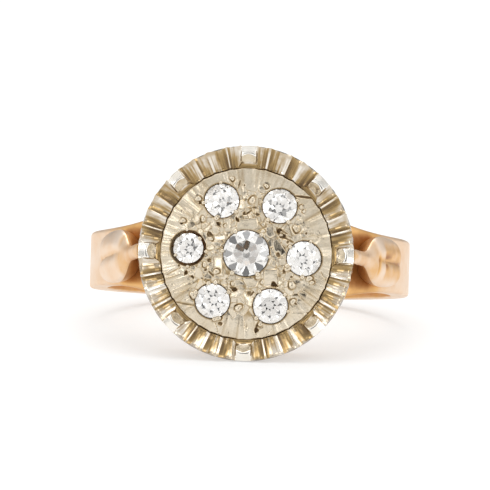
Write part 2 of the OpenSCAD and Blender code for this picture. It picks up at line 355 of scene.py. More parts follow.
wire(
    DIRT_AND_SHADE_GROUP,
    (g_in, "Place", patch, "Vector"),
    (g_in, "Size", patch, "Scale"),
    (patch, "Fac", warmth, "Value"),
    (warmth, "Result", tint, "Factor"),
    (g_in, "Clean", tint, "A"),
    (g_in, "Warm", tint, "B"),
    (patch, "Fac", broken, 0),
    (g_in, "Dirt_and_shade", some, "Value"),
    (broken, 0, only_dirty, 0),
    (some, "Result", only_dirty, 1),
    (g_in, "Dirt_and_shade", settled, 0),
    (only_dirty, 0, settled, 1),
    (settled, 0, thin, "Value"),
    (settled, 0, thick, "Value"),
    (settled, 0, metal, "Value"),
    (thin, "Result", brown, "Factor"),
    (tint, "Result", brown, "A"),
    (g_in, "Patina_and_shade", brown, "B"),
    (thick, "Result", black, "Factor"),
    (brown, "Result", black, "A"),
    (g_in, "Dirty_and_shaded", black, "B"),
    (black, "Result", g_out, "Color"),
    (metal, "Result", g_out, "Metal"),
)
print(DIRT_AND_SHADE_GROUP.name, "has nodes:", len(DIRT_AND_SHADE_GROUP.nodes))

# %% [markdown]
# ## The two golds
#
# Both golds are metals whose colour is their reflection. White gold of this age is warm and
# a little grey, rose gold is copper-pink, and both turn brown where dirt has settled. One
# material could serve the whole head, but its border is brighter and smoother than its
# plate, so white gold has two sets of values and rose gold has one. The bump is weak: a
# polished surface shows scratches by its highlights, not by its colour.

# %% A gold
SCRATCH_DEPTH = 0.02 * MM
POLISH_TO_DIRT = 1.6


def new_material(name, values):
    """A material and its shader, with plain values set on the shader's own sockets."""
    material = bpy.data.materials.new(name)
    material.use_nodes = True
    shader = material.node_tree.nodes["Principled BSDF"]
    for label, value in values.items():
        shader.inputs[label].default_value = value
    return material, shader


def gold(name, colours, size, low, high, bump):
    """A worn gold, from its colours, the size of its noise and its range of roughness."""
    material, shader = new_material(name, {})
    tree = material.node_tree
    place = node(tree, "ShaderNodeAttribute", attribute_name="on_ring")
    # The point attribute read here holds both dirt and painted shade.
    grime = node(tree, "ShaderNodeAttribute", attribute_name="dirt")
    colour = node(tree, "ShaderNodeGroup", {"Size": size}, node_tree=DIRT_AND_SHADE_GROUP)
    polish = node(tree, "ShaderNodeGroup", {"Low": low, "High": high}, node_tree=POLISH)
    polish.inputs["Size"].default_value = POLISH_TO_DIRT * size
    relief = node(tree, "ShaderNodeBump", {"Strength": bump, "Distance": SCRATCH_DEPTH})
    for label, value in zip(("Clean", "Warm", "Patina_and_shade", "Dirty_and_shaded"), colours):
        colour.inputs[label].default_value = (*value, 1)
    wire(
        tree,
        (place, "Vector", colour, "Place"),
        (place, "Vector", polish, "Place"),
        (grime, "Fac", colour, "Dirt_and_shade"),
        (colour, "Color", shader, "Base Color"),
        (colour, "Metal", shader, "Metallic"),
        (polish, "Roughness", shader, "Roughness"),
        (polish, "Height", relief, "Height"),
        (relief, "Normal", shader, "Normal"),
    )
    print(f"{name}: roughness {low:.2f} to {high:.2f}")
    return material


print(f"the finest scratches are {1000 * SCRATCH_DEPTH:.2f} mm deep at most")

# %% Three golds
# Colours: clean, warmer in patches, under patina and painted shade, under thick dirt and deep painted
# shade
PLATE_GOLD = gold(
    "white_gold_plate",
    [(0.73, 0.645, 0.51), (0.61, 0.50, 0.34), (0.42, 0.31, 0.17), (0.09, 0.05, 0.018)],
    size=1.1, low=0.12, high=0.28, bump=0.3,
)
BORDER_GOLD = gold(
    "white_gold_border",
    [(0.92, 0.89, 0.83), (0.84, 0.76, 0.63), (0.385, 0.265, 0.12), (0.10, 0.055, 0.02)],
    size=0.8, low=0.07, high=0.20, bump=0.12,
)
ROSE_GOLD = gold(
    "rose_gold",
    [(0.88, 0.72, 0.58), (0.86, 0.60, 0.38), (0.76, 0.45, 0.18), (0.34, 0.12, 0.02)],
    size=0.5, low=0.32, high=0.48, bump=0.2,
)

# %% [markdown]
# ## The diamond
#
# A brilliant shows what it does to light by its facets. A bright picture of facets would be
# the same from every side, so the stones get true flat facets and the real refractive index
# instead. The glass itself is plain: smooth, and barely yellow.

# %% Diamond material
DIAMOND, stone_shader = new_material("diamond", {
    "Base Color": (1, 0.972, 0.93, 1), "Roughness": 0.0, "IOR": 2.42, "Transmission Weight": 1.0,
})
print(f"refractive index {stone_shader.inputs['IOR'].default_value:.2f}")

# %% [markdown]
# ## The stones
#
# A cutter makes a brilliant by grinding one flat after another on a round blank. Its corners
# could be worked out one by one, but the mesh is made as the cutter does it: a round blank is
# cut by the planes of the table, the kites, the stars, the girdle facets and the pavilion,
# and each cut is closed with a flat face. The girdle is left round, with the scallops that
# the planes make by themselves.

# %% The planes of a brilliant
TABLE_SHARE = 0.57
CROWN_SHARE = 0.15
GIRDLE_SHARE = 0.03
UPPER_ANGLE = math.radians(39.5)
LOWER_ANGLE = math.radians(42.8)
STAR_ANGLE = math.radians(22.0)


def facet_planes(r, pavilion):
    """(outward normal, distance from the girdle's middle) of each facet."""
    crown_h, girdle_h = 2 * CROWN_SHARE * r, 2 * GIRDLE_SHARE * r
    table_r = TABLE_SHARE * r
    kite = math.atan2(crown_h, r - table_r)
    main = math.atan(2 * pavilion)
    star_in = table_r * math.cos(math.pi / 8)

    def facet(turn, lean, up, r_at, z_at):
        a, aside = math.radians(turn), math.sin(lean)
        n = Vector((aside * math.cos(a), aside * math.sin(a), up * math.cos(lean)))
        return n, r_at * aside + up * z_at * math.cos(lean)

    planes = [(Vector((0, 0, 1)), crown_h)]
    for k in range(8):
        planes.append(facet(45 * k, kite, 1, r, 0))
        planes.append(facet(45 * k + 22.5, STAR_ANGLE, 1, star_in, crown_h))
        planes.append(facet(45 * k, main, -1, r, -girdle_h))
    for k in range(16):
        planes.append(facet(22.5 * k + 11.25, UPPER_ANGLE, 1, r, 0))
        planes.append(facet(22.5 * k + 11.25, LOWER_ANGLE, -1, r, -girdle_h))
    return planes


print("facets of a brilliant:", len(facet_planes(1.0, 0.43)))

# %% Cut a brilliant from a round blank
BLANK_SIDES = 96


def brilliant(r, pavilion):
    """Points and flat faces of a brilliant of that radius, girdle's top edge at zero."""
    d = 2 * r
    work = bmesh.new()
    bmesh.ops.create_cone(
        work, cap_ends=True, segments=BLANK_SIDES, radius1=r, radius2=r, depth=2 * d,
    )
    for normal, away in facet_planes(r, pavilion):
        cut = bmesh.ops.bisect_plane(
            work, geom=work.verts[:] + work.edges[:] + work.faces[:], dist=1e-6 * d,
            plane_co=normal * away, plane_no=normal, clear_outer=True,
        )
        rim = [e for e in cut["geom_cut"] if isinstance(e, bmesh.types.BMEdge)]
        if rim:
            bmesh.ops.edgeloop_fill(work, edges=rim)
    work.verts.index_update()
    points = np.array([tuple(v.co) for v in work.verts])
    faces = [[v.index for v in f.verts] for f in work.faces]
    work.free()
    return points, faces


print("faces of a cut stone, girdle and all:", len(brilliant(1.0, 0.43)[1]))

# %% [markdown]
# The side stones sit square to the dome, so each one's axes are the dome's own at its place.
# Places and sizes could be written down again here. They are read from the solids instead,
# which keeps the new stones where the old ones are.

# %% Read the stones' places
STONE_SINK = 0.06
STONE_GAP = 0.05
SMALL_SHARE = 0.88
DOME_MIDDLE = np.array([0, 0, DOME_Z])


class Seat:
    """A stone's place: its girdle's middle, its axes, its radius and the stone's own."""

    def __init__(self, node_name):
        away = on_axes(frame["nodes"][node_name].data) - DOME_MIDDLE
        out = away.mean(0)
        self.up = out / np.linalg.norm(out)
        flat = away - np.outer(away @ self.up, self.up)
        self.stone_r = np.linalg.norm(flat, axis=1).max()
        stone_share = SMALL_SHARE if node_name == "side_stone_4" else 1.0
        self.r = self.stone_r / stone_share + STONE_GAP
        self.middle = DOME_MIDDLE + self.up * (DOME_R - STONE_SINK)
        side = np.array([1.0, 0, 0]) - self.up * self.up[0]
        self.side = side / np.linalg.norm(side)
        self.along = np.cross(self.up, self.side)

    def place(self, points):
        """Points on the seat's axes, put on the ring's."""
        x, y, z = (points[..., k:k + 1] for k in range(3))
        return self.middle + x * self.side + y * self.along + z * self.up


# Each stone's turn about its own axis in degrees, and its depth below the girdle as a share
STONE_CUTS = {
    "centre_stone": (1, 0.4286), "side_stone_1": (12, 0.437), "side_stone_2": (4, 0.44),
    "side_stone_3": (17, 0.44), "side_stone_4": (38, 0.44), "side_stone_5": (9, 0.44),
    "side_stone_6": (26, 0.44),
}
SEATS = {name: Seat(name) for name in STONE_CUTS}
print("stones' radii in mm:", [round(float(seat.stone_r), 2) for seat in SEATS.values()])

# %% [markdown]
# No two old stones lie alike: each is set at its own turn, and the middle one is a little
# flatter than the rest. So each is cut by itself, and they don't all flash at once.

# %% Cut and set the stones
for name, seat in SEATS.items():
    degrees, pavilion = STONE_CUTS[name]
    points, faces = brilliant(seat.stone_r, pavilion)
    c, s = math.cos(math.radians(degrees)), math.sin(math.radians(degrees))
    turned = points @ np.array([[c, s, 0], [-s, c, 0], [0, 0, 1]])
    stone = Parts()
    stone.add(seat.place(turned), faces, smooth=False)
    show(stone.mesh(name + "_cut"), [name], DIAMOND)

# %% [markdown]
# ## The border
#
# Round the plate runs a dished border: eight smooth tongues, and between each two a window
# with four gouged flutes. Tongues and flutes both start low at the plate's edge and climb to
# the crest, where the flutes run out and scallop the outer edge. Each flute could be cut by
# a boolean, but 32 of them would be slow and sharp. The border has one height for each radius
# and angle, so it is made as a round grid of points, fine enough for the ridges.

# %% The tongues
TONGUES = 8
TONGUE_W = 0.85
SEGMENT = 2 * math.pi / TONGUES
# Way out from the plate's edge, and height against the crest
TONGUE_LINE = [
    (0.00, -0.68), (0.12, -0.72), (0.30, -0.60), (0.50, -0.36), (0.68, -0.10),
    (0.78, 0.02), (0.86, 0.03), (1.30, -0.09),
]
LINE_BLUR = 0.04
TONGUE_ROUND = 0.03
TONGUE_BOW = 0.10
SCOOP_AT = 0.50
SCOOP_L = 0.28
SCOOP_W = 0.34
SCOOP_D = 0.06
TUCK_W = 0.2
TUCK_D = 0.15


def tongue_height(way, across):
    """Height of a tongue: its thumbnail scoop, round back and foot tucked under the plate."""
    off = 2 * across / TONGUE_W
    bow = TONGUE_BOW * off ** 2 * smooth_step(0.2, 0.5, way) * smooth_step(0.95, 0.75, way)
    z = CREST_Z + smooth_line(TONGUE_LINE, way + bow, LINE_BLUR)
    scoop = 1 - ((way - SCOOP_AT) / SCOOP_L) ** 2 - (across / SCOOP_W) ** 2
    z = z - SCOOP_D * np.clip(scoop, 0, 1) ** 0.6
    return z - TONGUE_ROUND * off ** 2 - TUCK_D * smooth_step(0.01, -0.03, way)


print(f"a tongue's crest is at {tongue_height(np.array([0.82]), np.array([0.0]))[0]:.2f} mm")

# %% [markdown]
# The flutes were gouged by hand, so no two are as wide, as steep or as brown. A chart gives
# the ridges between them, and seeded chance gives each one its lean, depth and patina, and
# the side that is darkened with painted shade.

# %% The flutes
FLUTE_LINE = [(0.00, -0.68), (0.40, -0.50), (0.80, -0.25), (1.12, -0.03), (1.30, 0.04)]
FLUTE_SKEW = 0.45
FLUTE_UNEVEN = 0.15
RIDGE_SHARE = 0.15
# How brown a flute is with patina, and how much painted shade darkens one side and the line along that
# side
PATINA_LOW = 0.41
PATINA_HIGH = 0.71
SHADED_SIDE = 0.30
SHADE_LINE = 0.35
# Ridges between the flutes of each window, in degrees from its first tongue
RIDGES = [
    (14.2, 22.7, 33.2),
    (14.2, 21.2, 33.7),
    (12.2, 23.0, 31.2),
    (14.2, 22.7, 31.2),
    (14.2, 22.2, 32.2),
    (12.7, 21.7, 30.7),
    (12.2, 21.7, 31.2),
    (14.2, 22.7, 32.2),
]


def flute_arch(angle):
    """0 on each ridge and tongue, rising to 1 in the middle of each flute, and the patina with painted
    shade on one side.
    """
    window = np.floor(angle / SEGMENT).astype(int) % TONGUES
    local = np.degrees(angle % SEGMENT)
    edge = math.degrees(math.asin(TONGUE_W / (PLATE_R + HEAD_R)))
    arch, patina_and_shade = np.zeros_like(local), np.zeros_like(local)
    chance = np.random.default_rng(11)
    for k, ridges in enumerate(RIDGES):
        lines = [edge, *ridges, math.degrees(SEGMENT) - edge]
        for low, high in zip(lines, lines[1:]):
            here = (window == k) & (local >= low) & (local <= high)
            v = (2 * local[here] - low - high) / (high - low)
            lean = 1 + chance.uniform(-FLUTE_SKEW, FLUTE_SKEW) * v
            arch[here] = (1 - v * v) * lean * chance.uniform(1 - FLUTE_UNEVEN, 1 + FLUTE_UNEVEN)
            stain = chance.uniform(PATINA_LOW, PATINA_HIGH)
            # Painted shade: one side of each flute, and a line along that side, is darker.
            side = chance.choice([-SHADED_SIDE, SHADED_SIDE])
            line = SHADE_LINE * np.exp(-((v - 0.72 * np.sign(side)) / 0.12) ** 2)
            patina_and_shade[here] = stain + side * v + line
    arch = np.clip((arch - RIDGE_SHARE) / (1 - RIDGE_SHARE), 0, None)
    return arch, patina_and_shade * smooth_step(0.0, 0.15, arch)


print(f"deepest flute: {flute_arch(np.linspace(0, 6.28, 3000))[0].max():.2f} of the common depth")

# %% [markdown]
# The gouge has streaked the flutes lengthwise and bitten into the plate's edge. The windows
# are cut from the tongues by a soft mask with round inner corners, so the two meet in a
# short wall. Dirt keeps to the feet of the flutes, and their outer ends are worn bright.
# Painted shade darkens the flutes beside the walls, and painted shade and reflection darken
# the tongues' roots.

# %% The flutes' depth and height
BORDER_W = HEAD_R - PLATE_R
FLUTE_FOOT_D = 0.15
FLUTE_OUT_D = 0.19
FLUTE_ENTRY = 0.22
STREAK_D = 0.003
RIDGE_ROUND = 0.015
EDGE_BITE = 0.04


def flute_bite(angle):
    """How far the gouge has run on into the plate's edge."""
    return EDGE_BITE * np.sqrt(flute_arch(angle)[0])


def flute_height(way, foot_way, arch, streaks):
    """Height in a window: its slope less the gouge, which fades in from the plate."""
    depth = FLUTE_FOOT_D + (FLUTE_OUT_D - FLUTE_FOOT_D) * way / BORDER_W
    gouge = (depth * arch + STREAK_D * streaks) * smooth_step(-0.06, FLUTE_ENTRY, foot_way)
    slope = CREST_Z + smooth_line(FLUTE_LINE, way, LINE_BLUR)
    return slope - np.sqrt(gouge ** 2 + RIDGE_ROUND ** 2)


bite = flute_bite(np.linspace(0, SEGMENT, 400)).max()
print(f"the deepest bite into the plate's edge: {bite:.2f} mm")

# %% Windows, walls, dirt and painted shade
SCALLOP_D = 0.06
CORNER_R = 0.42
WALL_W = 0.06


def border_dirt(way, arch, inside, cut, patina_and_shade, streaks):
    """Patina and painted shade in the flutes, and painted shade along the windows' walls and at the
    tongues' roots.
    """
    patina_and_shade = patina_and_shade + 0.22 * streaks * smooth_step(0.0, 0.3, arch)
    patina_and_shade = np.clip(patina_and_shade, 0.12, 0.9) * smooth_step(2.4, 0.4, way)
    patina_and_shade = np.maximum(patina_and_shade, 0.28 * smooth_step(0.8, 1.15, way))
    # Painted shade: the flutes are darkened beside the windows' walls.
    wall_shade = 0.3 * smooth_step(0.22, 0.02, inside) * smooth_step(1.1, 0.4, way)
    # Painted shade and painted reflection: the tongues' roots are darkened.
    root = 0.62 * smooth_step(0.42, 0.15, way) * (1 - cut)
    return cut * np.maximum(wall_shade, patina_and_shade) + root


def border_surface(way, angle):
    """Radius, height, and dirt and painted shade of the border; way runs out from the plate's edge."""
    r = PLATE_R + way
    nearest = np.round(angle / SEGMENT) * SEGMENT
    across = np.abs(r * np.sin(angle - nearest))
    arch, patina_and_shade = flute_arch(angle)
    foot_way = way + EDGE_BITE * np.sqrt(arch)
    to_wall = np.maximum(CORNER_R - (across - TONGUE_W / 2), 0)
    inside = CORNER_R - np.hypot(to_wall, np.maximum(CORNER_R - foot_way, 0))
    cut = smooth_step(0, WALL_W, inside)
    streaks = speckle(angle * 60, way + 5, seed=7)
    streaks = streaks + 0.6 * speckle(angle * 150, way * 0.7 + 9, seed=8)
    flute = flute_height(way, foot_way, arch, streaks)
    z = tongue_height(way, across) * (1 - cut) + flute * cut
    r = r - SCALLOP_D * arch * cut * smooth_step(0.6, 1.3, way)
    return r, z, border_dirt(way, arch, inside, cut, patina_and_shade, streaks)


tip = border_surface(np.array([BORDER_W]), np.array([SEGMENT / 2]))
print(f"the border's outer edge at a flute: {tip[0][0]:.2f} mm out, {tip[1][0]:.2f} mm high")

# %% Build the border
BORDER_COLUMNS = 1200
EDGE_DROP = 0.03
RIM_H = 0.4
RIM_Z = CREST_Z - RIM_H
UNDER_DIRT = 0.2
angles = np.linspace(0, 2 * math.pi, BORDER_COLUMNS, endpoint=False)
ways = np.concatenate([
    np.linspace(-TUCK_W, 0.14, 19), np.linspace(0.17, 0.93, 30),
    np.linspace(0.96, BORDER_W - 0.02, 14), [BORDER_W - 0.005],
])
ww, aa = np.meshgrid(ways, angles, indexing="ij")
rr, zz, dirt = border_surface(ww, aa)
rr, aa, dirt = (np.vstack([rows, rows[-1:]]) for rows in (rr, aa, dirt))
zz = np.vstack([zz, zz[-1:] - EDGE_DROP])
# Radius and height down the rim, in under the cup and up inside the hollow
below = [
    (HEAD_R, RIM_Z - 0.02), (HEAD_R - 0.05, RIM_Z - 0.09), (COLLAR_R + 0.05, HEAD_Z + 0.08),
    (COLLAR_R, HEAD_Z), (HOLLOW_R, HEAD_Z), (HOLLOW_R, PLATE_Z - PLATE_T / 2),
]
for level in below:
    rows = [np.full(BORDER_COLUMNS, value) for value in (*level, UNDER_DIRT)]
    rr, zz, dirt = (np.vstack(pair) for pair in zip((rr, zz, dirt), rows))
    aa = np.vstack([aa, angles])
border = Parts()
border.add(
    np.stack([rr * np.cos(aa), rr * np.sin(aa), zz], -1),
    tube_faces(len(rr), BORDER_COLUMNS, close=True), dirt.ravel(),
)
show(border.mesh("setting_border"), ["setting"], BORDER_GOLD)

# %% [markdown]
# ## The plate
#
# The domed plate carries the seats. Between the stones the setter has cut bright flats and
# leaf-shaped strokes, and has raised grains. A bump picture could fake them, but the cuts
# catch the light because they are real, so they go into the mesh. The plate's top is a flat
# triangle net with a hole for each seat, which is then lifted to the dome's height less
# every cut. The tables chart the cuts in millimetres from the middle of the head.

# %% Charts of the flats and pits
# Flats: how much they climb to the right and upwards, and the corners of their outline
FLATS = [
    (0.02, -0.06, [(-1.41, 2.06), (-0.96, 2.07), (-0.94, 1.26), (-1.33, 1.25)]),
    (0.00, -0.02, [
        (-0.60, 1.99), (0.60, 2.14), (0.73, 1.61), (0.32, 1.33), (-0.22, 1.40), (-0.64, 1.39),
    ]),
    (-0.04, 0.10, [(1.18, 1.62), (1.51, 1.69), (1.74, 1.10), (1.39, 0.91), (1.11, 1.14)]),
    (0.14, -0.04, [(-1.98, 1.02), (-1.23, 1.07), (-1.22, 0.77), (-1.97, 0.63)]),
    (0.14, -0.10, [(-1.94, -0.27), (-1.43, -0.26), (-1.31, -1.43), (-1.70, -1.41), (-1.90, -0.87)]),
    (0.05, 0.14, [(1.11, -0.96), (1.95, -0.88), (1.92, -1.90), (1.08, -1.99)]),
    (-0.02, 0.12, [(-0.20, -1.48), (0.88, -1.42), (0.72, -2.00), (0.12, -2.14)]),
    (0.06, -0.04, [(-1.15, -1.75), (-0.31, -1.55), (0.06, -1.90), (-0.72, -2.04)]),
    (0.10, 0.08, [(1.54, 0.79), (1.84, 0.92), (2.46, 0.10), (2.05, -0.22), (1.61, 0.25)]),
    (-0.08, -0.12, [(1.93, -0.28), (2.47, -0.20), (2.48, -0.62), (2.00, -0.70)]),
]
# Pits where dirt has filled the graver's stabs: x, y, radius
PITS = [
    (-0.16, 2.40, 0.15), (-0.56, 2.01, 0.14), (-1.67, 1.72, 0.16), (-2.22, 1.06, 0.20),
    (0.62, 2.37, 0.13), (0.91, 1.73, 0.13), (1.94, 1.46, 0.17), (2.19, 1.05, 0.20),
    (2.50, 0.76, 0.16), (-2.21, -0.46, 0.18), (-0.63, -2.16, 0.20), (-3.54, -1.27, 0.12),
    (-4.00, -0.85, 0.10), (-3.18, -1.48, 0.11), (-1.44, -4.21, 0.15), (1.70, -1.82, 0.24),
    (2.30, -0.99, 0.15), (0.24, -2.36, 0.18), (1.92, -0.02, 0.18), (3.07, -2.93, 0.11),
    (0.77, -4.58, 0.17), (-2.85, 2.97, 0.10), (-3.91, 1.74, 0.11), (-4.48, 0.69, 0.10),
    (1.36, 1.90, 0.10), (-0.95, 2.45, 0.09), (-2.40, -1.05, 0.12), (-1.15, -2.25, 0.12),
    (2.75, -1.35, 0.10), (0.95, -2.35, 0.10), (-0.20, 4.10, 0.09), (3.55, 1.30, 0.09),
]
print(f"{len(FLATS)} flats, {len(PITS)} pits")

# %% Chart of the strokes
# Start x and y, end x and y, width, depth
STROKES = [
    (-3.79, 2.64, -3.22, 2.01, 0.10, 0.06),
    (-3.98, 2.52, -3.40, 1.88, 0.09, 0.05),
    (2.80, 3.54, 4.03, 3.45, 0.22, 0.12),
    (1.76, 1.57, 2.10, 0.95, 0.20, 0.12),
    (1.90, 1.50, 2.50, 1.20, 0.16, 0.10),
    (2.20, 1.05, 2.84, 0.72, 0.18, 0.10),
    (-4.76, -1.42, -3.85, -0.91, 0.30, 0.08),
    (-3.51, -1.08, -3.68, -1.45, 0.12, 0.12),
    (-3.20, -1.40, -3.05, -1.65, 0.12, 0.12),
    (-4.12, -3.02, -2.97, -3.20, 0.34, 0.09),
    (-4.30, -2.40, -3.30, -2.10, 0.16, 0.06),
    (-4.35, -1.95, -3.20, -1.75, 0.12, 0.05),
    (-4.05, -3.26, -3.62, -3.67, 0.09, 0.08),
    (-3.92, -3.16, -3.48, -3.60, 0.08, 0.06),
    (-1.82, -3.91, -1.50, -4.89, 0.07, 0.10),
    (-0.91, -3.70, -0.91, -4.83, 0.06, 0.05),
    (1.69, -4.46, 1.20, -4.98, 0.06, 0.07),
    (4.46, -0.92, 4.85, -1.54, 0.06, 0.09),
    (2.81, -3.42, 3.74, -3.39, 0.10, 0.05),
    (3.70, -3.43, 4.10, -3.54, 0.16, 0.12),
    (0.77, -4.20, 0.70, -4.80, 0.20, 0.12),
    (-0.46, 4.40, -0.60, 3.90, 0.12, 0.12),
    (-1.00, 4.40, -0.80, 3.95, 0.10, 0.08),
    (0.28, 2.60, -0.11, 2.30, 0.14, 0.12),
    (-0.70, 2.15, -0.45, 1.85, 0.14, 0.12),
    (-1.85, 1.85, -1.55, 1.50, 0.16, 0.12),
    (-2.31, 1.25, -1.98, 0.95, 0.18, 0.12),
    (-2.90, 3.05, -2.62, 2.80, 0.12, 0.10),
    (-2.25, -1.10, -1.85, -1.45, 0.16, 0.11),
    (-2.60, -1.55, -1.70, -1.75, 0.10, 0.07),
    (-0.95, -2.05, -0.50, -2.20, 0.18, 0.12),
    (0.30, -2.55, 0.55, -2.25, 0.16, 0.12),
    (1.55, -1.75, 2.00, -1.95, 0.18, 0.12),
    (2.30, -1.30, 2.20, -2.05, 0.08, 0.06),
    (-0.40, -2.55, 0.05, -3.05, 0.09, 0.05),
    (-0.25, -2.45, 0.20, -2.95, 0.09, 0.05),
    (4.20, 1.50, 4.62, 0.90, 0.07, 0.05),
    (4.05, 1.35, 4.45, 0.75, 0.07, 0.05),
]
print(f"{len(STROKES)} strokes")

# %% Chart of the grains
# x, y, radius
GRAINS = [
    (0.28, 3.17, 0.24), (-2.96, 3.20, 0.20), (-0.97, 4.48, 0.16), (-2.62, 1.99, 0.19),
    (-3.84, 1.87, 0.18), (-1.71, 2.22, 0.17), (1.10, 4.08, 0.15), (0.96, 1.76, 0.18),
    (2.95, 1.56, 0.24), (3.20, 2.87, 0.13), (3.38, 2.61, 0.11), (-3.08, -2.58, 0.24),
    (-1.57, -3.93, 0.19), (-0.36, -3.29, 0.24), (2.79, -1.81, 0.26), (3.80, -1.40, 0.21),
    (3.97, -1.64, 0.15), (2.51, -0.84, 0.22), (0.76, -1.37, 0.20), (2.87, -2.82, 0.20),
    (0.97, -4.19, 0.17), (0.97, 1.34, 0.13), (-2.79, 0.80, 0.13), (-2.12, 0.80, 0.13),
    (1.02, -1.70, 0.14), (-2.45, -0.75, 0.16), (-1.75, -1.15, 0.20), (-2.20, -1.85, 0.15),
    (-0.75, -1.85, 0.13), (2.05, 1.15, 0.12), (-4.20, -0.20, 0.13), (-1.30, 1.62, 0.10),
]
print(f"{len(GRAINS)} grains")

# %% [markdown]
# Each kind of mark is a function that gives, mark by mark, how much it lifts the metal at
# each point and how much dirt and painted shade lie there. The plate's height is then the dome
# plus all the lifts. First come the marks that cover an area: faint rays that the graver left
# round the edge, small dents, and chips where the metal was picked away at chance angles.

# %% Rays and dents
RAY_D = 0.018
RIB_D = 0.045
DENT_D = 0.006


def ray_marks(x, y):
    r, angle = np.hypot(x, y), np.arctan2(y, x)
    rays = speckle(angle * 26 + 400, r * 0.7 + 9, seed=3)
    rays = rays + 0.6 * speckle(angle * 61 + 400, r + 3, seed=4)
    ribs = speckle(angle * 11 + 400, r * 0.6 + 30, seed=13)
    outer = smooth_step(3.2, 4.4, r)
    dirt = 0.42 * np.clip(0.6 * rays + 0.5 * ribs, 0, 1) * outer
    yield (RAY_D * rays + RIB_D * ribs) * outer, dirt


def dent_marks(x, y):
    dents = speckle(x * 3.3 + 40, y * 3.3 + 40, seed=5) + 0.5 * speckle(x * 7 + 60, y * 7 + 60, seed=6)
    yield DENT_D * dents * smooth_step(4.7, 3.6, np.hypot(x, y)), 0.0


edge_lift = next(ray_marks(np.array([PLATE_R]), np.zeros(1)))[0][0]
print(f"lift by the rays at the plate's right edge: {edge_lift:.3f} mm")

# %% Chips
CHIPS = 420
CHIPS_R = 3.9
CHIP_LEAN = 0.17
CHIP_LEAN_MAX = 0.5
CHIP_D = 0.035


def chips_and_edges(x, y):
    """Height of small flat chips at chance angles, and a mask of the edges between them."""
    chance = np.random.default_rng(21)
    spots = chance.uniform(-CHIPS_R, CHIPS_R, (CHIPS, 2))
    leans = np.clip(chance.normal(0, CHIP_LEAN, (CHIPS, 2)), -CHIP_LEAN_MAX, CHIP_LEAN_MAX)
    depths = chance.uniform(0, CHIP_D, CHIPS)
    near, second = np.full(x.shape, np.inf), np.full(x.shape, np.inf)
    z = np.zeros(x.shape)
    for (sx, sy), (gx, gy), deep in zip(spots, leans, depths):
        off = np.hypot(x - sx, y - sy)
        closer = off < near
        second = np.where(closer, near, np.minimum(second, off))
        near = np.where(closer, off, near)
        z = np.where(closer, gx * (x - sx) + gy * (y - sy) - deep, z)
    return z, smooth_step(0.05, 0.0, second - near)


def flat_inside(x, y, corners):
    """Distance inside a convex outline, negative outside."""
    inside = np.full_like(x, np.inf)
    middle = np.mean(corners, axis=0)
    for (x0, y0), (x1, y1) in zip(corners, corners[1:] + corners[:1]):
        n = np.array([y1 - y0, x0 - x1])
        n = n / np.linalg.norm(n)
        if (middle - (x0, y0)) @ n < 0:
            n = -n
        inside = np.minimum(inside, (x - x0) * n[0] + (y - y0) * n[1])
    return inside


def chip_marks(x, y):
    """Chips, which stop at a ragged line before the plate's edge and leave the flats out."""
    ragged_r = np.hypot(x, y) + 0.5 * speckle(x * 2 + 30, y * 2 + 30, seed=9)
    carved = smooth_step(CHIPS_R + 0.5, CHIPS_R - 0.3, ragged_r)
    for _, _, corners in FLATS:
        carved = carved * smooth_step(0.05, -0.05, flat_inside(x, y, corners))
    z, edges = chips_and_edges(x, y)
    yield z * carved, 0.55 * edges * carved


middle_dirt = next(chip_marks(np.zeros(1), np.zeros(1)))[1]
print(f"dirt between the chips, at the plate's middle: {middle_dirt[0]:.2f}")

# %% [markdown]
# Then come the marks that have a place of their own: bright flats that slope each its own
# way, pits, leaf strokes that are deepest along their middle, and the dark ring that the
# punch has pressed round each grain, darker on one side as a painted shadow. Around the seats
# lies a film of old polish, with painted shade on each seat's outward side.

# %% Flats and pits
FLAT_SINK = 0.04
PIT_D = 0.10


def flat_marks(x, y):
    for climb_x, climb_y, corners in FLATS:
        inside = flat_inside(x, y, corners)
        mx, my = np.mean(corners, axis=0)
        sunk = climb_x * (x - mx) + climb_y * (y - my) - FLAT_SINK
        yield sunk * smooth_step(0, 0.06, inside), 0.4 * smooth_step(0.05, 0.0, np.abs(inside))


def pit_marks(x, y):
    ragged = 1 + 0.45 * speckle(x * 9 + 70, y * 9 + 70, seed=12)
    for px, py, p_r in PITS:
        deep = smooth_step(1.0, 0.3, np.hypot(x - px, y - py) / (p_r * ragged))
        yield -PIT_D * deep, 0.9 * deep


first_pit = (np.array([PITS[0][0]]), np.array([PITS[0][1]]))
deepest = max(-lift[0] for lift, _ in pit_marks(*first_pit))
print(f"the first pit is {deepest:.2f} mm deep")

# %% Strokes, rings round the grains, films and painted shade round the seats
RING_D = 0.06


def stroke_marks(x, y):
    for x0, y0, x1, y1, width, depth in STROKES:
        run = np.array([x1 - x0, y1 - y0])
        length = np.linalg.norm(run)
        t = ((x - x0) * run[0] + (y - y0) * run[1]) / length ** 2
        aside = np.abs((x - x0) * run[1] - (y - y0) * run[0]) / length
        half = 0.5 * width * np.sqrt(np.clip(4 * t * (1 - t), 0, 1)) + 1e-9
        deep = depth * np.clip(1 - aside / half, 0, 1) * ((t > 0) & (t < 1))
        yield -deep, smooth_step(0.035, 0.1, deep)


def grain_edge(gx, gy, g_r, turn):
    """A grain's radius, which wavers with the angle in its own way at each place."""
    own = 7 * gx + 5 * gy
    return g_r * (1 + 0.15 * np.sin(2 * turn + own) + 0.09 * np.sin(3 * turn + 2 * own))


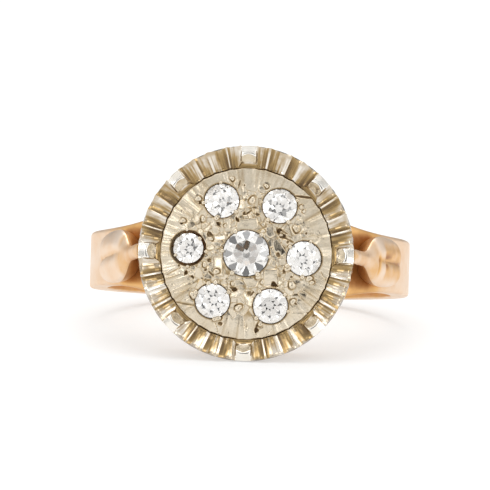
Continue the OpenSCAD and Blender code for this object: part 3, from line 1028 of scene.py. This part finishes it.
def grain_marks(x, y):
    for gx, gy, g_r in GRAINS:
        turn = np.arctan2(y - gy, x - gx)
        off = np.hypot(x - gx, y - gy) - grain_edge(gx, gy, g_r, turn)
        # Painted shadow: the ring is darker on one side of each grain.
        shadow_side = 0.5 + 0.5 * np.sin(turn + 7 * gx + 5 * gy)
        ring = smooth_step(0.10, 0.0, np.abs(off)) * (0.15 + 0.85 * shadow_side)
        yield -RING_D * ring, 0.85 * ring


def seat_marks(x, y):
    for seat in SEATS.values():
        dx, dy = x - seat.middle[0], y - seat.middle[1]
        off = np.hypot(dx, dy) - seat.r
        outward = dx * seat.up[0] + dy * seat.up[1]
        tip_over = max(np.hypot(*seat.up[:2]), 1e-6)
        # Painted shade: the film round each seat is heavier on its outward side.
        lean = 0.5 + 0.5 * np.clip(outward / (seat.r * tip_over), -1, 1)
        yield 0.0, (0.25 + 0.55 * lean) * smooth_step(0.10, 0.0, off)


films = [grime.max() for _, grime in seat_marks(np.zeros(1), np.zeros(1))]
print(f"dirt under the centre stone: {max(films):.2f}")

# %% The plate's height and dirt
BEVEL_W = 0.05
BEVEL_D = 0.035
PLATE_MARKS = (
    ray_marks, dent_marks, chip_marks, flat_marks, pit_marks, stroke_marks, grain_marks, seat_marks,
)


def plate_surface(x, y):
    """Height, and dirt and painted shade, of the plate's top."""
    r = np.hypot(x, y)
    z = DOME_Z + np.sqrt(DOME_R ** 2 - r * r)
    dirt = np.zeros_like(z)
    for marks in PLATE_MARKS:
        for lift, grime in marks(x, y):
            z = z + lift
            dirt = np.maximum(dirt, grime)
    to_edge = r + flute_bite(np.arctan2(y, x))
    return z - BEVEL_D * smooth_step(PLATE_R - BEVEL_W, PLATE_R, to_edge), dirt


middle_z = plate_surface(np.zeros(1), np.zeros(1))[0][0]
print(f"the plate's middle is {CREST_Z - middle_z:.2f} mm below the crest")

# %% [markdown]
# A grid of squares would cut the seats' circles into steps. Blender's Delaunay function
# fills the outline with triangles instead and keeps the circles as edges.

# %% A triangle net with round holes


def triangle_net(outer_r, holes, step, outer_n):
    """Triangles inside a circle and outside the holes, which are outlines of (x, y)."""
    rows = np.arange(-outer_r, outer_r, step * math.sqrt(3) / 2)
    across = np.arange(-outer_r, outer_r, step)
    grid = np.array([(x + (i % 2) * step / 2, y) for i, y in enumerate(rows) for x in across])
    keep = np.hypot(*grid.T) < outer_r - 0.4 * step
    for hole in holes:
        middle = hole.mean(0)
        hole_r = np.hypot(*(hole - middle).T).max()
        keep &= np.hypot(*(grid - middle).T) > hole_r + 0.4 * step
    points, edges = [tuple(p) for p in grid[keep]], []
    for loop in (circle(outer_r, outer_n)[:, :2], *holes):
        start, n = len(points), len(loop)
        points += [tuple(p) for p in loop]
        edges += [(start + i, start + (i + 1) % n) for i in range(n)]
    made = geometry.delaunay_2d_cdt([Vector(p) for p in points], edges, [], 0, 1e-6)
    flat = np.array([tuple(v) for v in made[0]])
    middles = np.array([flat[list(f)].mean(0) for f in made[2]])
    good = np.hypot(*middles.T) < outer_r
    for hole in holes:
        middle = hole.mean(0)
        hole_r = np.hypot(*(hole - middle).T).min()
        good &= np.hypot(*(middles - middle).T) > hole_r
    return flat, [f for f, ok in zip(made[2], good) if ok]


print("triangles in a coarse net:", len(triangle_net(1.0, [], 0.3, 24)[1]))

# %% [markdown]
# Each seat is drilled through the plate. It is lined with rings of points: a straight wall,
# a cone under the stone, and the open back.

# %% The seats' walls and the plate's underside
SEAT_SIDES = 80
SEAT_BACK_SHARE = 0.55
CONE_SHARE = 0.43


def seat_rings(seat):
    """Rings down a seat, from the plate's top to its underside."""
    cone_top = -2 * GIRDLE_SHARE * seat.stone_r - STONE_GAP
    back_r = SEAT_BACK_SHARE * seat.r
    cone_low = cone_top - 2 * CONE_SHARE * seat.stone_r * (1 - SEAT_BACK_SHARE)
    back_z = -PLATE_T + STONE_SINK
    levels = [(seat.r, 0.0), (seat.r, cone_top), (back_r, cone_low), (back_r, back_z)]
    return [seat.place(circle(r, SEAT_SIDES) + [0, 0, z]) for r, z in levels]


def under_height(x, y):
    """Height of the plate's underside, a smaller dome."""
    return DOME_Z + np.sqrt((DOME_R - PLATE_T) ** 2 - x * x - y * y)


def bitten(flat):
    """Draws the plate's outer edge in where the flutes have bitten into it."""
    r, angle = np.hypot(flat[:, 0], flat[:, 1]), np.arctan2(flat[:, 1], flat[:, 0])
    drawn = flute_bite(angle) * smooth_step(PLATE_R - 0.5, PLATE_R, r)
    return flat * (1 - drawn / np.maximum(r, 1e-6))[:, None]


def at_height(ring, height_of):
    """A ring of points whose heights are those of a surface."""
    return np.column_stack([ring[:, :2], height_of(ring[:, 0], ring[:, 1])])


def top_height(x, y):
    """Height of the plate's top alone."""
    return plate_surface(x, y)[0]


rings = {name: seat_rings(seat) for name, seat in SEATS.items()}
print("rings down the seats:", sum(len(levels) for levels in rings.values()))

# %% Build the plate
NET = 0.045
UNDER_NET = 0.3
PLATE_SIDES = 640
UNDER_SIDES = 160
SKIRT_H = 0.4
SKIRT_DIRT = 0.12
PLATE_UNDER_DIRT = 0.3
SEAT_DIRT = [0.9, 0.8, 0.7, 0.6]

plate = Parts()
holes = [levels[0][:, :2] for levels in rings.values()]
flat, faces = triangle_net(PLATE_R, holes, NET, PLATE_SIDES)
flat = bitten(flat)
height, dirt = plate_surface(flat[:, 0], flat[:, 1])
plate.add(np.column_stack([flat, height]), faces, dirt)
backs = [levels[-1][:, :2] for levels in rings.values()]
flat, faces = triangle_net(HOLLOW_R, backs, UNDER_NET, UNDER_SIDES)
plate.add(at_height(flat, under_height), [f[::-1] for f in faces], PLATE_UNDER_DIRT)
edge = at_height(bitten(circle(PLATE_R, PLATE_SIDES)[:, :2]), top_height)
skirt = np.concatenate([edge - [0, 0, SKIRT_H], edge])
plate.add(skirt, tube_faces(2, PLATE_SIDES), SKIRT_DIRT, smooth=False)
for levels in rings.values():
    rows = [at_height(levels[0], top_height), *levels[1:-1], at_height(levels[-1], under_height)]
    faces = [f[::-1] for f in tube_faces(len(rows), SEAT_SIDES)]
    plate.add(np.concatenate(rows), faces, np.repeat(SEAT_DIRT, SEAT_SIDES))
show(plate.mesh("setting_plate", merge=1e-4), ["setting"], PLATE_GOLD)

# %% [markdown]
# Grains are pushed up from the metal with a graver and rounded with a hollow punch. Spheres
# would look like added beads. Each grain is a small dome instead, a little sunk and never
# quite round. The loose ones stand where the chart has them, and a few more hold each stone
# by its crown.

# %% The grains' shape and places
GRAIN_SIDES = 16
GRAIN_ROWS = 6
GRAIN_SPREAD = 0.92
GRAIN_H = 0.55
CLAW_H = 0.9
CLAW_OUT = 0.3
# Grains over a stone's girdle: angle in degrees, radius
CLAWS = {
    "centre_stone": [(52, 0.15), (118, 0.16), (176, 0.13), (236, 0.16), (300, 0.17), (352, 0.12)],
    "side_stone_1": [(142, 0.13), (205, 0.16), (266, 0.15), (70, 0.12)],
    "side_stone_2": [(170, 0.11), (232, 0.14), (300, 0.15), (20, 0.13)],
    "side_stone_3": [(188, 0.13), (255, 0.17), (322, 0.14), (95, 0.12)],
    "side_stone_4": [(95, 0.12), (350, 0.13), (270, 0.11)],
    "side_stone_5": [(155, 0.17), (82, 0.16), (30, 0.14), (278, 0.17)],
    "side_stone_6": [(128, 0.15), (222, 0.16), (40, 0.14), (345, 0.12)],
}


def grain(r, high):
    """Points and faces of a small dome."""
    rows = [circle(r, GRAIN_SIDES) + [0, 0, -0.5 * high]]
    for i in range(GRAIN_ROWS):
        a = math.pi / 2 * i / GRAIN_ROWS
        rows.append(circle(r * math.cos(a), GRAIN_SIDES) + [0, 0, high * math.sin(a)])
    faces = tube_faces(GRAIN_ROWS + 1, GRAIN_SIDES)
    last, top = GRAIN_ROWS * GRAIN_SIDES, (GRAIN_ROWS + 1) * GRAIN_SIDES
    faces += [(last + j, last + (j + 1) % GRAIN_SIDES, top) for j in range(GRAIN_SIDES)]
    return np.concatenate([*rows, [[0, 0, high]]]), faces


print("grains that hold stones:", sum(len(claws) for claws in CLAWS.values()))

# %% Build the grains
grains = Parts()
for gx, gy, g_r in GRAINS:
    points, faces = grain(GRAIN_SPREAD, GRAIN_H * g_r)
    around = np.arctan2(points[:, 1], points[:, 0])
    points[:, :2] *= grain_edge(gx, gy, g_r, around)[:, None]
    base = top_height(np.array([gx]), np.array([gy]))[0]
    grains.add(points + [gx, gy, base], faces)
for name, claws in CLAWS.items():
    seat = SEATS[name]
    for degrees, g_r in claws:
        points, faces = grain(g_r, CLAW_H * g_r)
        a, away = math.radians(degrees), seat.r + CLAW_OUT * g_r
        at = [away * math.cos(a), away * math.sin(a), STONE_SINK]
        grains.add(seat.place(points + at), faces)
show(grains.mesh("setting_grains"), ["setting"], PLATE_GOLD)

# %% [markdown]
# ## The shank
#
# The band is a strip of rose gold with rounded edges, bent round the finger. Seen from the
# head its shoulders flare in an arc to meet the collar. A bent and tapered block would flare
# only in straight lines, so the band is a loft: one rounded section for each angle, as wide
# as the arc says there.

# %% The band's width at each angle
BAND_W = 3.4
BACK_W = 3.0
FLARE_IN = 0.5
COLLAR_LAP = 0.2
FLARE_X = BAND_R - FLARE_IN
JOIN_R = COLLAR_R - COLLAR_LAP
FLARE_R = (FLARE_X ** 2 + (BAND_W / 2) ** 2 - JOIN_R ** 2) / (2 * JOIN_R - BAND_W)
SADDLE_W = (BAND_W + 2 * FLARE_R) * JOIN_R / (JOIN_R + FLARE_R)


def band_half_width(a):
    """Half the band's width at an angle from the head."""
    x, z = np.abs(BAND_R * np.sin(a)), BAND_R * np.cos(a)
    taper = BAND_W / 2 + (BACK_W - BAND_W) / 2 * np.clip(-z / BAND_R, 0, 1)
    in_flare = np.clip(FLARE_X - x, 0, None)
    arc = BAND_W / 2 + FLARE_R - np.sqrt(np.maximum(FLARE_R ** 2 - in_flare ** 2, 0))
    flare = np.minimum(np.where(x < FLARE_X, arc, BAND_W / 2), SADDLE_W / 2)
    return np.where(z > 0, flare, taper)


print(f"the flare's radius is {FLARE_R:.1f} mm, its saddle {SADDLE_W:.1f} mm wide")

# %% The band
EDGE_R = 0.22
IN_EDGE_R = 0.12
EDGE_STEPS = 6
ACROSS = 22
BAND_COLUMNS = 360


def section(half_w):
    """Outline of the band's section, as (radius, way across), with its four edges rounded."""
    out_r, in_r = BAND_R - EDGE_R, FINGER_R + IN_EDGE_R
    corners = [
        (out_r, half_w - EDGE_R, EDGE_R, 0), (in_r, half_w - IN_EDGE_R, IN_EDGE_R, 90),
        (in_r, -half_w + IN_EDGE_R, IN_EDGE_R, 180), (out_r, -half_w + EDGE_R, EDGE_R, 270),
    ]
    rows = []
    for k, (r, y, round_r, start) in enumerate(corners):
        for step in range(EDGE_STEPS + 1):
            t = math.radians(start + 90 * step / EDGE_STEPS)
            rows.append((r + round_r * math.cos(t), y + round_r * math.sin(t)))
        if k in (1, 3):
            wall_r, wall_y = rows[-1]
            rows += [(wall_r, y_to) for y_to in np.linspace(wall_y, -wall_y, ACROSS + 2)[1:-1]]
    return rows


def band_part():
    """Points and faces of the whole band, one section for each angle."""
    turns = np.linspace(0, 2 * math.pi, BAND_COLUMNS, endpoint=False)
    points = np.array([
        [(r * math.sin(a), y, r * math.cos(a)) for r, y in section(half_w)]
        for a, half_w in zip(turns, band_half_width(turns))
    ])
    return points.reshape(-1, 3), tube_faces(len(points), points.shape[1], close=True)


print("points in a section of the band:", len(section(BAND_W / 2)))

# %% [markdown]
# A goldsmith solders the collar on and then bores the shank through for the finger and for
# the hollow behind the plate. The same two steps are booleans here: the collar is joined and
# the two round holes are cut. Booleans leave long highlights clean, where a hand-made seam
# would show.

# %% The collar and the two borers
COLLAR_SIDES = 192
FINGER_SIDES = 360
OUT_EDGE = 0.06
IN_EDGE = 0.04


def collar_part():
    """The collar's wall, which dips below the band for the finger hole to trim."""
    top, low = BAND_R + COLLAR_H, 0.6 * FINGER_R
    levels = [
        (COLLAR_R, low), (COLLAR_R, top - OUT_EDGE), (COLLAR_R - OUT_EDGE, top),
        (HOLLOW_R + IN_EDGE, top), (HOLLOW_R, top - IN_EDGE), (HOLLOW_R, low),
    ]
    rows = [circle(r, COLLAR_SIDES) + [0, 0, z] for r, z in levels]
    faces = tube_faces(len(rows), COLLAR_SIDES, close=True)
    return np.concatenate(rows), [f[::-1] for f in faces]


def cylinder_part(r, low, high, sides, along_finger=False):
    """Points and faces of a borer, out through the head or along the finger."""
    points = np.concatenate([circle(r, sides) + [0, 0, z] for z in (low, high)])
    faces = tube_faces(2, sides) + [tuple(range(sides))[::-1], tuple(range(sides, 2 * sides))]
    if along_finger:
        points = points[:, [0, 2, 1]] * [1, -1, 1]
    return points, faces


print("faces of the collar:", len(collar_part()[1]))

# %% Join and bore the shank


def solid(part):
    """A helper object, laid down like the rest, for a boolean."""
    made = Parts()
    made.add(*part)
    return put("helper", made.mesh("helper", merge=1e-5))


def combined(base, steps):
    """Applies (operation, part) booleans to a helper and returns the mesh."""
    tools = []
    for operation, part in steps:
        tool = solid(part)
        change = base.modifiers.new(operation, "BOOLEAN")
        change.operation, change.object, change.solver = operation, tool, "EXACT"
        tools.append(tool)
    depsgraph = bpy.context.evaluated_depsgraph_get()
    mesh = bpy.data.meshes.new_from_object(base.evaluated_get(depsgraph))
    for helper in (base, *tools):
        bpy.data.objects.remove(helper)
    return mesh


finger_cut = cylinder_part(FINGER_R, -HEAD_R, HEAD_R, FINGER_SIDES, along_finger=True)
back_cut = cylinder_part(HOLLOW_R, 0, CREST_Z, COLLAR_SIDES)
shank_mesh = combined(
    solid(band_part()),
    [("UNION", collar_part()), ("DIFFERENCE", finger_cut), ("DIFFERENCE", back_cut)],
)
print("shank corners:", len(shank_mesh.vertices))

# %% [markdown]
# ## The hearts
#
# Each shoulder carries a heart that climbs from the band to the rim of the head. A flat
# heart could be bent over the shoulder, but the real one swells and thins as it climbs. So
# it is a loft along a smooth curve: two lobes with a cleft between them at the outer end, a
# crease where they drop to the flank, and a flat neck that meets a tongue.

# %% The hearts' charts
# Way along the heart, then half width, height, cleft and depth as shares of its own
HEART_TABLE = np.array([
    [0.00, 0.42, 0.20, 0.5, 0.5],
    [0.03, 0.66, 0.50, 1.0, 0.6],
    [0.09, 0.83, 0.78, 1.0, 0.6],
    [0.20, 0.96, 0.98, 0.9, 0.7],
    [0.31, 1.00, 1.05, 0.8, 0.9],
    [0.40, 0.99, 1.00, 0.7, 1.1],
    [0.46, 0.93, 0.88, 0.4, 1.1],
    [0.51, 0.80, 0.74, 0.1, 0.8],
    [0.56, 0.58, 0.62, 0.0, 0.5],
    [0.61, 0.36, 0.56, 0.0, 0.4],
    [0.67, 0.27, 0.56, 0.0, 0.33],
    [0.93, 0.27, 0.56, 0.0, 0.33],
    [0.975, 0.26, 0.42, 0.0, 0.33],
    [1.00, 0.20, 0.10, 0.0, 0.20],
])
# Each heart: side (1 is the right one), degrees from the head, share of the width, cleft,
# crease and dish in the metal, dirt, and the slant and shift that make it uneven
RIGHT_HEART = {
    "side": 1, "at": 68.0, "wide": 0.95, "cleft": 0.6, "crease": 0.07, "dish": 0.10,
    "grime": 1.0, "slant": 0.2, "shift": 0.06,
}
LEFT_HEART = {
    "side": -1, "at": 65.0, "wide": 1.0, "cleft": 0.65, "crease": 0.03, "dish": 0.0,
    "grime": 0.25, "slant": 0.7, "shift": -0.12,
}


print("rows in the hearts' chart:", len(HEART_TABLE))

# %% The hearts' route
HEART_LIFT = 0.1
CLIMB_PULL = 0.32
NECK_LEAN = 0.1


def heart_route(at):
    """The smooth climb from the band, so many degrees from the head, to the rim."""
    a = math.radians(at)
    out = (BAND_R + HEART_LIFT) * np.array([math.sin(a), 0, math.cos(a)])
    top = np.array([HEAD_R, 0, RIM_Z + RIM_H / 2])
    pull = CLIMB_PULL * np.linalg.norm(top - out)
    out_pull = out + pull * np.array([-math.cos(a), 0, math.sin(a)])
    top_pull = top + pull * np.array([NECK_LEAN, 0, -1])

    def on_route(s):
        u = 1 - s
        return u ** 3 * out + 3 * u * u * s * out_pull + 3 * u * s * s * top_pull + s ** 3 * top

    return on_route


print("the right heart's middle:", heart_route(RIGHT_HEART["at"])(0.5).round(1).tolist())

# %% [markdown]
# The marks on a heart are masks over its top: the cleft, the fold below the lobes, the flank
# beyond it and the hollow of the lobes. The same masks press the metal in and darken it, so
# dirt lies where the metal is low, and the flank takes a painted reflection of the head. The
# lobes' undersides get painted shade.

# %% Marks, dirt and painted light on a heart
CLEFT_MIDDLE = 0.25
FOLD_AT = 0.47


def heart_marks(s, y, top, slant):
    """Way from the cleft's line, and masks for its groove, the fold, flank and hollow."""
    v = y - slant * (s - CLEFT_MIDDLE)
    groove = 0.75 * np.exp(-(v / 0.38) ** 2) + 0.25 * np.exp(-(v / 0.1) ** 2)
    bend = FOLD_AT + 0.03 * (y / 1.2) ** 2
    fold = top * np.exp(-((s - bend) / 0.016) ** 2) * np.exp(-((y + 0.25) / 0.75) ** 4)
    flank = top * smooth_step(bend - 0.01, bend + 0.03, s)
    hollow = top * smooth_step(bend - 0.06, bend - 0.12, s) * smooth_step(1.45, 0.8, np.abs(y))
    return v, groove, fold, flank, hollow


def heart_dirt(s, y, top, groove_d, marks, side, grime):
    """Dirt along the cleft and the fold, blots in the hollow, a painted reflection of the head on the
    flank and painted shade under the lobes.
    """
    v, _, fold, flank, hollow = marks
    line = groove_d * top * np.exp(-(v / (0.26 - 0.08 * grime)) ** 2)
    spots = speckle(14 * s + 20 + 9 * side, 3 * y + 50, seed=31)
    blots = hollow * smooth_step(0.07, 0.20, s) * np.exp(-(v / 0.42) ** 2)
    blots = blots * np.clip(0.55 + spots, 0, 1)
    # The flank's term is a painted reflection of the head; the rest are stains.
    stains_and_painted_reflection = grime * (0.42 * hollow + 0.95 * blots) + (0.34 + 0.12 * spots) * flank
    # Painted shade under the lobes, where they face the gap.
    under = 0.9 * (1 - top) * smooth_step(0.3, 0.5, s)
    creased = (0.3 + 0.6 * grime) * line + 0.6 * grime * fold
    return np.maximum.reduce([creased, stains_and_painted_reflection, under])


marks = heart_marks(0.3, np.zeros(1), np.ones(1), slant=0.0)
print(f"the cleft's groove is {marks[1][0]:.1f} of its depth at its line")

# %% Loft a heart
HEART_W = 3.2
HEART_H = 0.6
HEART_DEEP = 1.1
CLEFT_D = 0.35
FLANK_D = 0.05
HEART_ROWS = 110
HEART_SIDES = 96


def heart_part(side, at, wide, cleft, crease, dish, grime, slant, shift):
    """Points, faces, and dirt and painted light of one shoulder's heart."""
    points, dirt = [], []
    on_route = heart_route(at)
    t = np.linspace(0, 2 * math.pi, HEART_SIDES, endpoint=False)
    top = np.sin(t) > 0
    for s in np.linspace(0, 1, HEART_ROWS):
        half_w, high, groove_d, deep = (
            smooth_line(HEART_TABLE[:, [0, c]], s, 0.02) for c in range(1, 5)
        )
        ahead = on_route(s + 0.01) - on_route(s - 0.01)
        ahead = ahead / np.linalg.norm(ahead)
        up = np.array([ahead[2], 0, -ahead[0]])
        y = half_w * (1 + (wide - 1) * smooth_step(0.7, 0.5, s)) * HEART_W / 2 * np.cos(t)
        marks = heart_marks(s, y, top, slant)
        _, groove, fold, flank, hollow = marks
        rise = np.where(top, high * HEART_H, deep * HEART_DEEP) * np.sin(t)
        rise = rise - CLEFT_D * (groove_d * cleft * top * groove) - crease * fold
        rise = rise - dish * hollow * smooth_step(0.0, 0.15, s)
        rise = rise - FLANK_D * flank * smooth_step(0.9, 0.5, s)
        aside = (y + shift * (1 - s))[:, None] * np.array([0, 1, 0])
        points.append((on_route(s) + rise[:, None] * up + aside) * [side, 1, 1])
        dirt.append(heart_dirt(s, y, top, groove_d, marks, side, grime))
    first = tuple(range(HEART_SIDES))
    last = tuple(i + (HEART_ROWS - 1) * HEART_SIDES for i in first)
    faces = [*tube_faces(HEART_ROWS, HEART_SIDES), first[::-1], last]
    if side < 0:
        faces = [f[::-1] for f in faces]
    return np.concatenate(points), faces, np.concatenate(dirt)


print("points on the two hearts:", 2 * HEART_ROWS * HEART_SIDES)

# %% [markdown]
# The band is darker inside, by the head, and in the gaps between the hearts' necks and the
# collar: painted shade where these places lie in shadow. Weighted normals keep its flat walls
# flat in the highlights while the rounded edges stay soft.

# %% Build the shank
FILM = 0.08
INSIDE_SHADE = 0.45
HEAD_SIDE_SHADE = 0.5
GAP_SHADE = 0.95
SHARP_ANGLE = math.radians(35)


def shank_dirt(points):
    """On the band: a thin film of dirt all over, painted shade inside and by the head, and dark
    painted shade in the gaps beside the hearts.
    """
    x, y, z = np.abs(points[:, 0]), np.abs(points[:, 1]), points[:, 2]
    # Painted shade: inside the band, by the head and in the gaps beside the hearts.
    inside = smooth_step(FINGER_R + 0.05, FINGER_R, np.hypot(x, z))
    by_head_shade = smooth_step(9.0, 7.4, x) * (z > 3)
    outside = np.hypot(x, z) > FINGER_R + BAND_T / 2
    gap_shade = smooth_step(7.9, 7.2, x) * (z > 4) * smooth_step(2.3, 1.3, y) * outside
    film = np.full_like(x, FILM)
    return np.maximum.reduce([INSIDE_SHADE * inside, HEAD_SIDE_SHADE * by_head_shade, GAP_SHADE * gap_shade, film])


shank = Parts()
points = on_axes(shank_mesh)
shank.add(points, [tuple(p.vertices) for p in shank_mesh.polygons], shank_dirt(points))
shank.add(*heart_part(**RIGHT_HEART))
shank.add(*heart_part(**LEFT_HEART))
shank_piece = show(shank.mesh("shank_gold"), ["shank"], ROSE_GOLD)
shank_piece.data.shade_smooth()
weighted = shank_piece.modifiers.new("weighted", "WEIGHTED_NORMAL")
weighted.keep_sharp = True
shank_piece.data.set_sharp_from_angle(angle=SHARP_ANGLE)

# %% [markdown]
# ## Camera
#
# The picture was taken from far away with a long lens, almost square to the head and a
# little from the right, and the ring leans slightly in it. A camera could be pushed about by
# hand until it fits. Here its place is worked out from the head: so many degrees up and
# aside, and so far that the ring has its size in the frame.

# %% The camera's way and place
IMAGE_PX = 490
PX_PER_MM = 16.75
HEAD_PX = (246.0, 253.1)
CAMERA_MM = 400.0
AZIMUTH = math.radians(1.25)
ELEVATION = TILT - math.radians(3.6)
ROLL = math.radians(1.4)
SENSOR = 36.0

head_point = Vector(lay([0, 0, PLATE_Z + DOME_H]))
to_camera = Vector((
    math.sin(AZIMUTH) * math.cos(ELEVATION),
    -math.cos(AZIMUTH) * math.cos(ELEVATION),
    math.sin(ELEVATION),
))
turn = to_camera.to_track_quat("Z", "Y").to_matrix() @ Matrix.Rotation(ROLL, 3, "Z")
right, up = turn.col[0], turn.col[1]
off_x, off_y = ((px - IMAGE_PX / 2) / PX_PER_MM for px in HEAD_PX)
aim = head_point - right * off_x * MM + up * off_y * MM

camera_data = bpy.data.cameras.new("camera")
camera_data.sensor_width = SENSOR
camera_data.lens = PX_PER_MM * CAMERA_MM * SENSOR / IMAGE_PX
camera_data.clip_start = 0.01
camera_data.clip_end = 10.0
camera = put("camera", camera_data)
camera.matrix_world = Matrix.Translation(aim + to_camera * CAMERA_MM * MM) @ turn.to_4x4()
bpy.context.scene.camera = camera
print(f"lens {camera_data.lens:.0f} mm")

# %% [markdown]
# ## Floor and light
#
# A small piece of jewellery is photographed on white, with soft light from all round. The
# floor is a plain pale plane that glows a little, so that it meets the bright room without
# an edge and still takes a soft shadow.

# %% Floor
FLOOR_HALF = 1.5
floor_z = min(corner[2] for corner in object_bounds())
floor_mesh = bpy.data.meshes.new("floor")
corners = [(-1, -1), (1, -1), (1, 1), (-1, 1)]
floor_mesh.from_pydata(
    [(x * FLOOR_HALF, y * FLOOR_HALF, floor_z) for x, y in corners], [], [(0, 1, 2, 3)],
)
floor = put("floor", floor_mesh)
floor_paint, _ = new_material("floor_paint", {
    "Base Color": (0.52, 0.52, 0.52, 1), "Roughness": 0.9,
    "Emission Color": (1, 1, 1, 1), "Emission Strength": 0.43,
})
floor_mesh.materials.append(floor_paint)
floor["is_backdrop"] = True
print(f"floor at {1000 * floor_z:.2f} mm")

# %% [markdown]
# Polished metal and stones show nothing but their surroundings, so the room does most of the
# work. It could be built from walls and cards. A world whose brightness depends only on the
# angle from the camera's side does the same with one ramp: bright all round, dimmer behind
# the ring, with a dark place where a photographer would stand and two narrow dark rings.
# They give the plate its tone and the stones their dark specks.

# %% The room
# Angle from the camera's side, in degrees, and how bright the room is there
ROOM = [
    (180, 0.40), (150, 0.42), (125, 0.72), (105, 0.94), (85, 0.97), (68, 1.02),
    (56, 1.06), (50, 1.05), (46, 0.45), (42, 1.05), (37, 1.00), (33.5, 0.30), (30, 0.95),
    (24, 1.12), (19, 0.85), (14.5, 1.08), (9.5, 0.02),
]
ROOM_MAX = 2.0
world = bpy.data.worlds.new("room")
world.use_nodes = True
bpy.context.scene.world = world
tree = world.node_tree
tree.nodes.clear()
w_out = node(tree, "ShaderNodeOutputWorld")
sky = node(tree, "ShaderNodeBackground", {"Color": (1, 1, 1, 1)})
way = node(tree, "ShaderNodeTexCoord")
ahead = node(tree, "ShaderNodeVectorMath", {1: tuple(to_camera)}, operation="DOT_PRODUCT")
share = node(tree, "ShaderNodeMapRange", {"From Min": -1.0, "From Max": 1.0})
ramp = node(tree, "ShaderNodeValToRGB")
ramp.color_ramp.interpolation = "EASE"
while len(ramp.color_ramp.elements) < len(ROOM):
    ramp.color_ramp.elements.new(1.0)
for stop, (degrees, bright) in zip(ramp.color_ramp.elements, ROOM):
    stop.position = 0.5 + 0.5 * math.cos(math.radians(degrees))
    stop.color = (bright / ROOM_MAX,) * 3 + (1,)
level = node(tree, "ShaderNodeMath", {1: ROOM_MAX}, operation="MULTIPLY")
wire(
    tree,
    (way, "Generated", ahead, 0),
    (ahead, "Value", share, "Value"),
    (share, "Result", ramp, "Fac"),
    (ramp, "Color", level, 0),
    (level, 0, sky, "Strength"),
    (sky, "Background", w_out, "Surface"),
)
print("stops in the room's ramp:", len(ramp.color_ramp.elements))

# %% [markdown]
# Nine soft boxes hang round the ring. They put the bright streaks in the flutes and on the
# edges, which an even room alone can't give.

# %% Lamps
# Angle from the camera, place on a clock face seen from the camera, width in metres and
# brightness
SOFT_BOXES = [
    (62, 9.2, 0.15, 1.8), (66, 10.4, 0.12, 1.2), (60, 11.5, 0.13, 0.9),
    (64, 0.8, 0.15, 0.9), (60, 2.0, 0.12, 1.5), (66, 3.0, 0.14, 1.9),
    (30, 10.0, 0.10, 2.4), (29, 3.4, 0.08, 1.8), (95, 12.0, 0.45, 1.5),
]
LAMP_AWAY = 0.5
for aside, hour, size, bright in SOFT_BOXES:
    clock_a, aside_a = math.radians(30 * hour), math.radians(aside)
    clock_way = right * math.sin(clock_a) + up * math.cos(clock_a)
    place = head_point + LAMP_AWAY * (to_camera * math.cos(aside_a) + clock_way * math.sin(aside_a))
    lamp_data = bpy.data.lights.new("soft_box", "AREA")
    lamp_data.size = size
    lamp_data.energy = bright * math.pi * size ** 2
    lamp = put("soft_box", lamp_data)
    lamp.location = place
    lamp.rotation_euler = (head_point - place).to_track_quat("-Z", "Y").to_euler()
bpy.context.scene.view_settings.view_transform = "Standard"
print("lamps:", len(SOFT_BOXES))
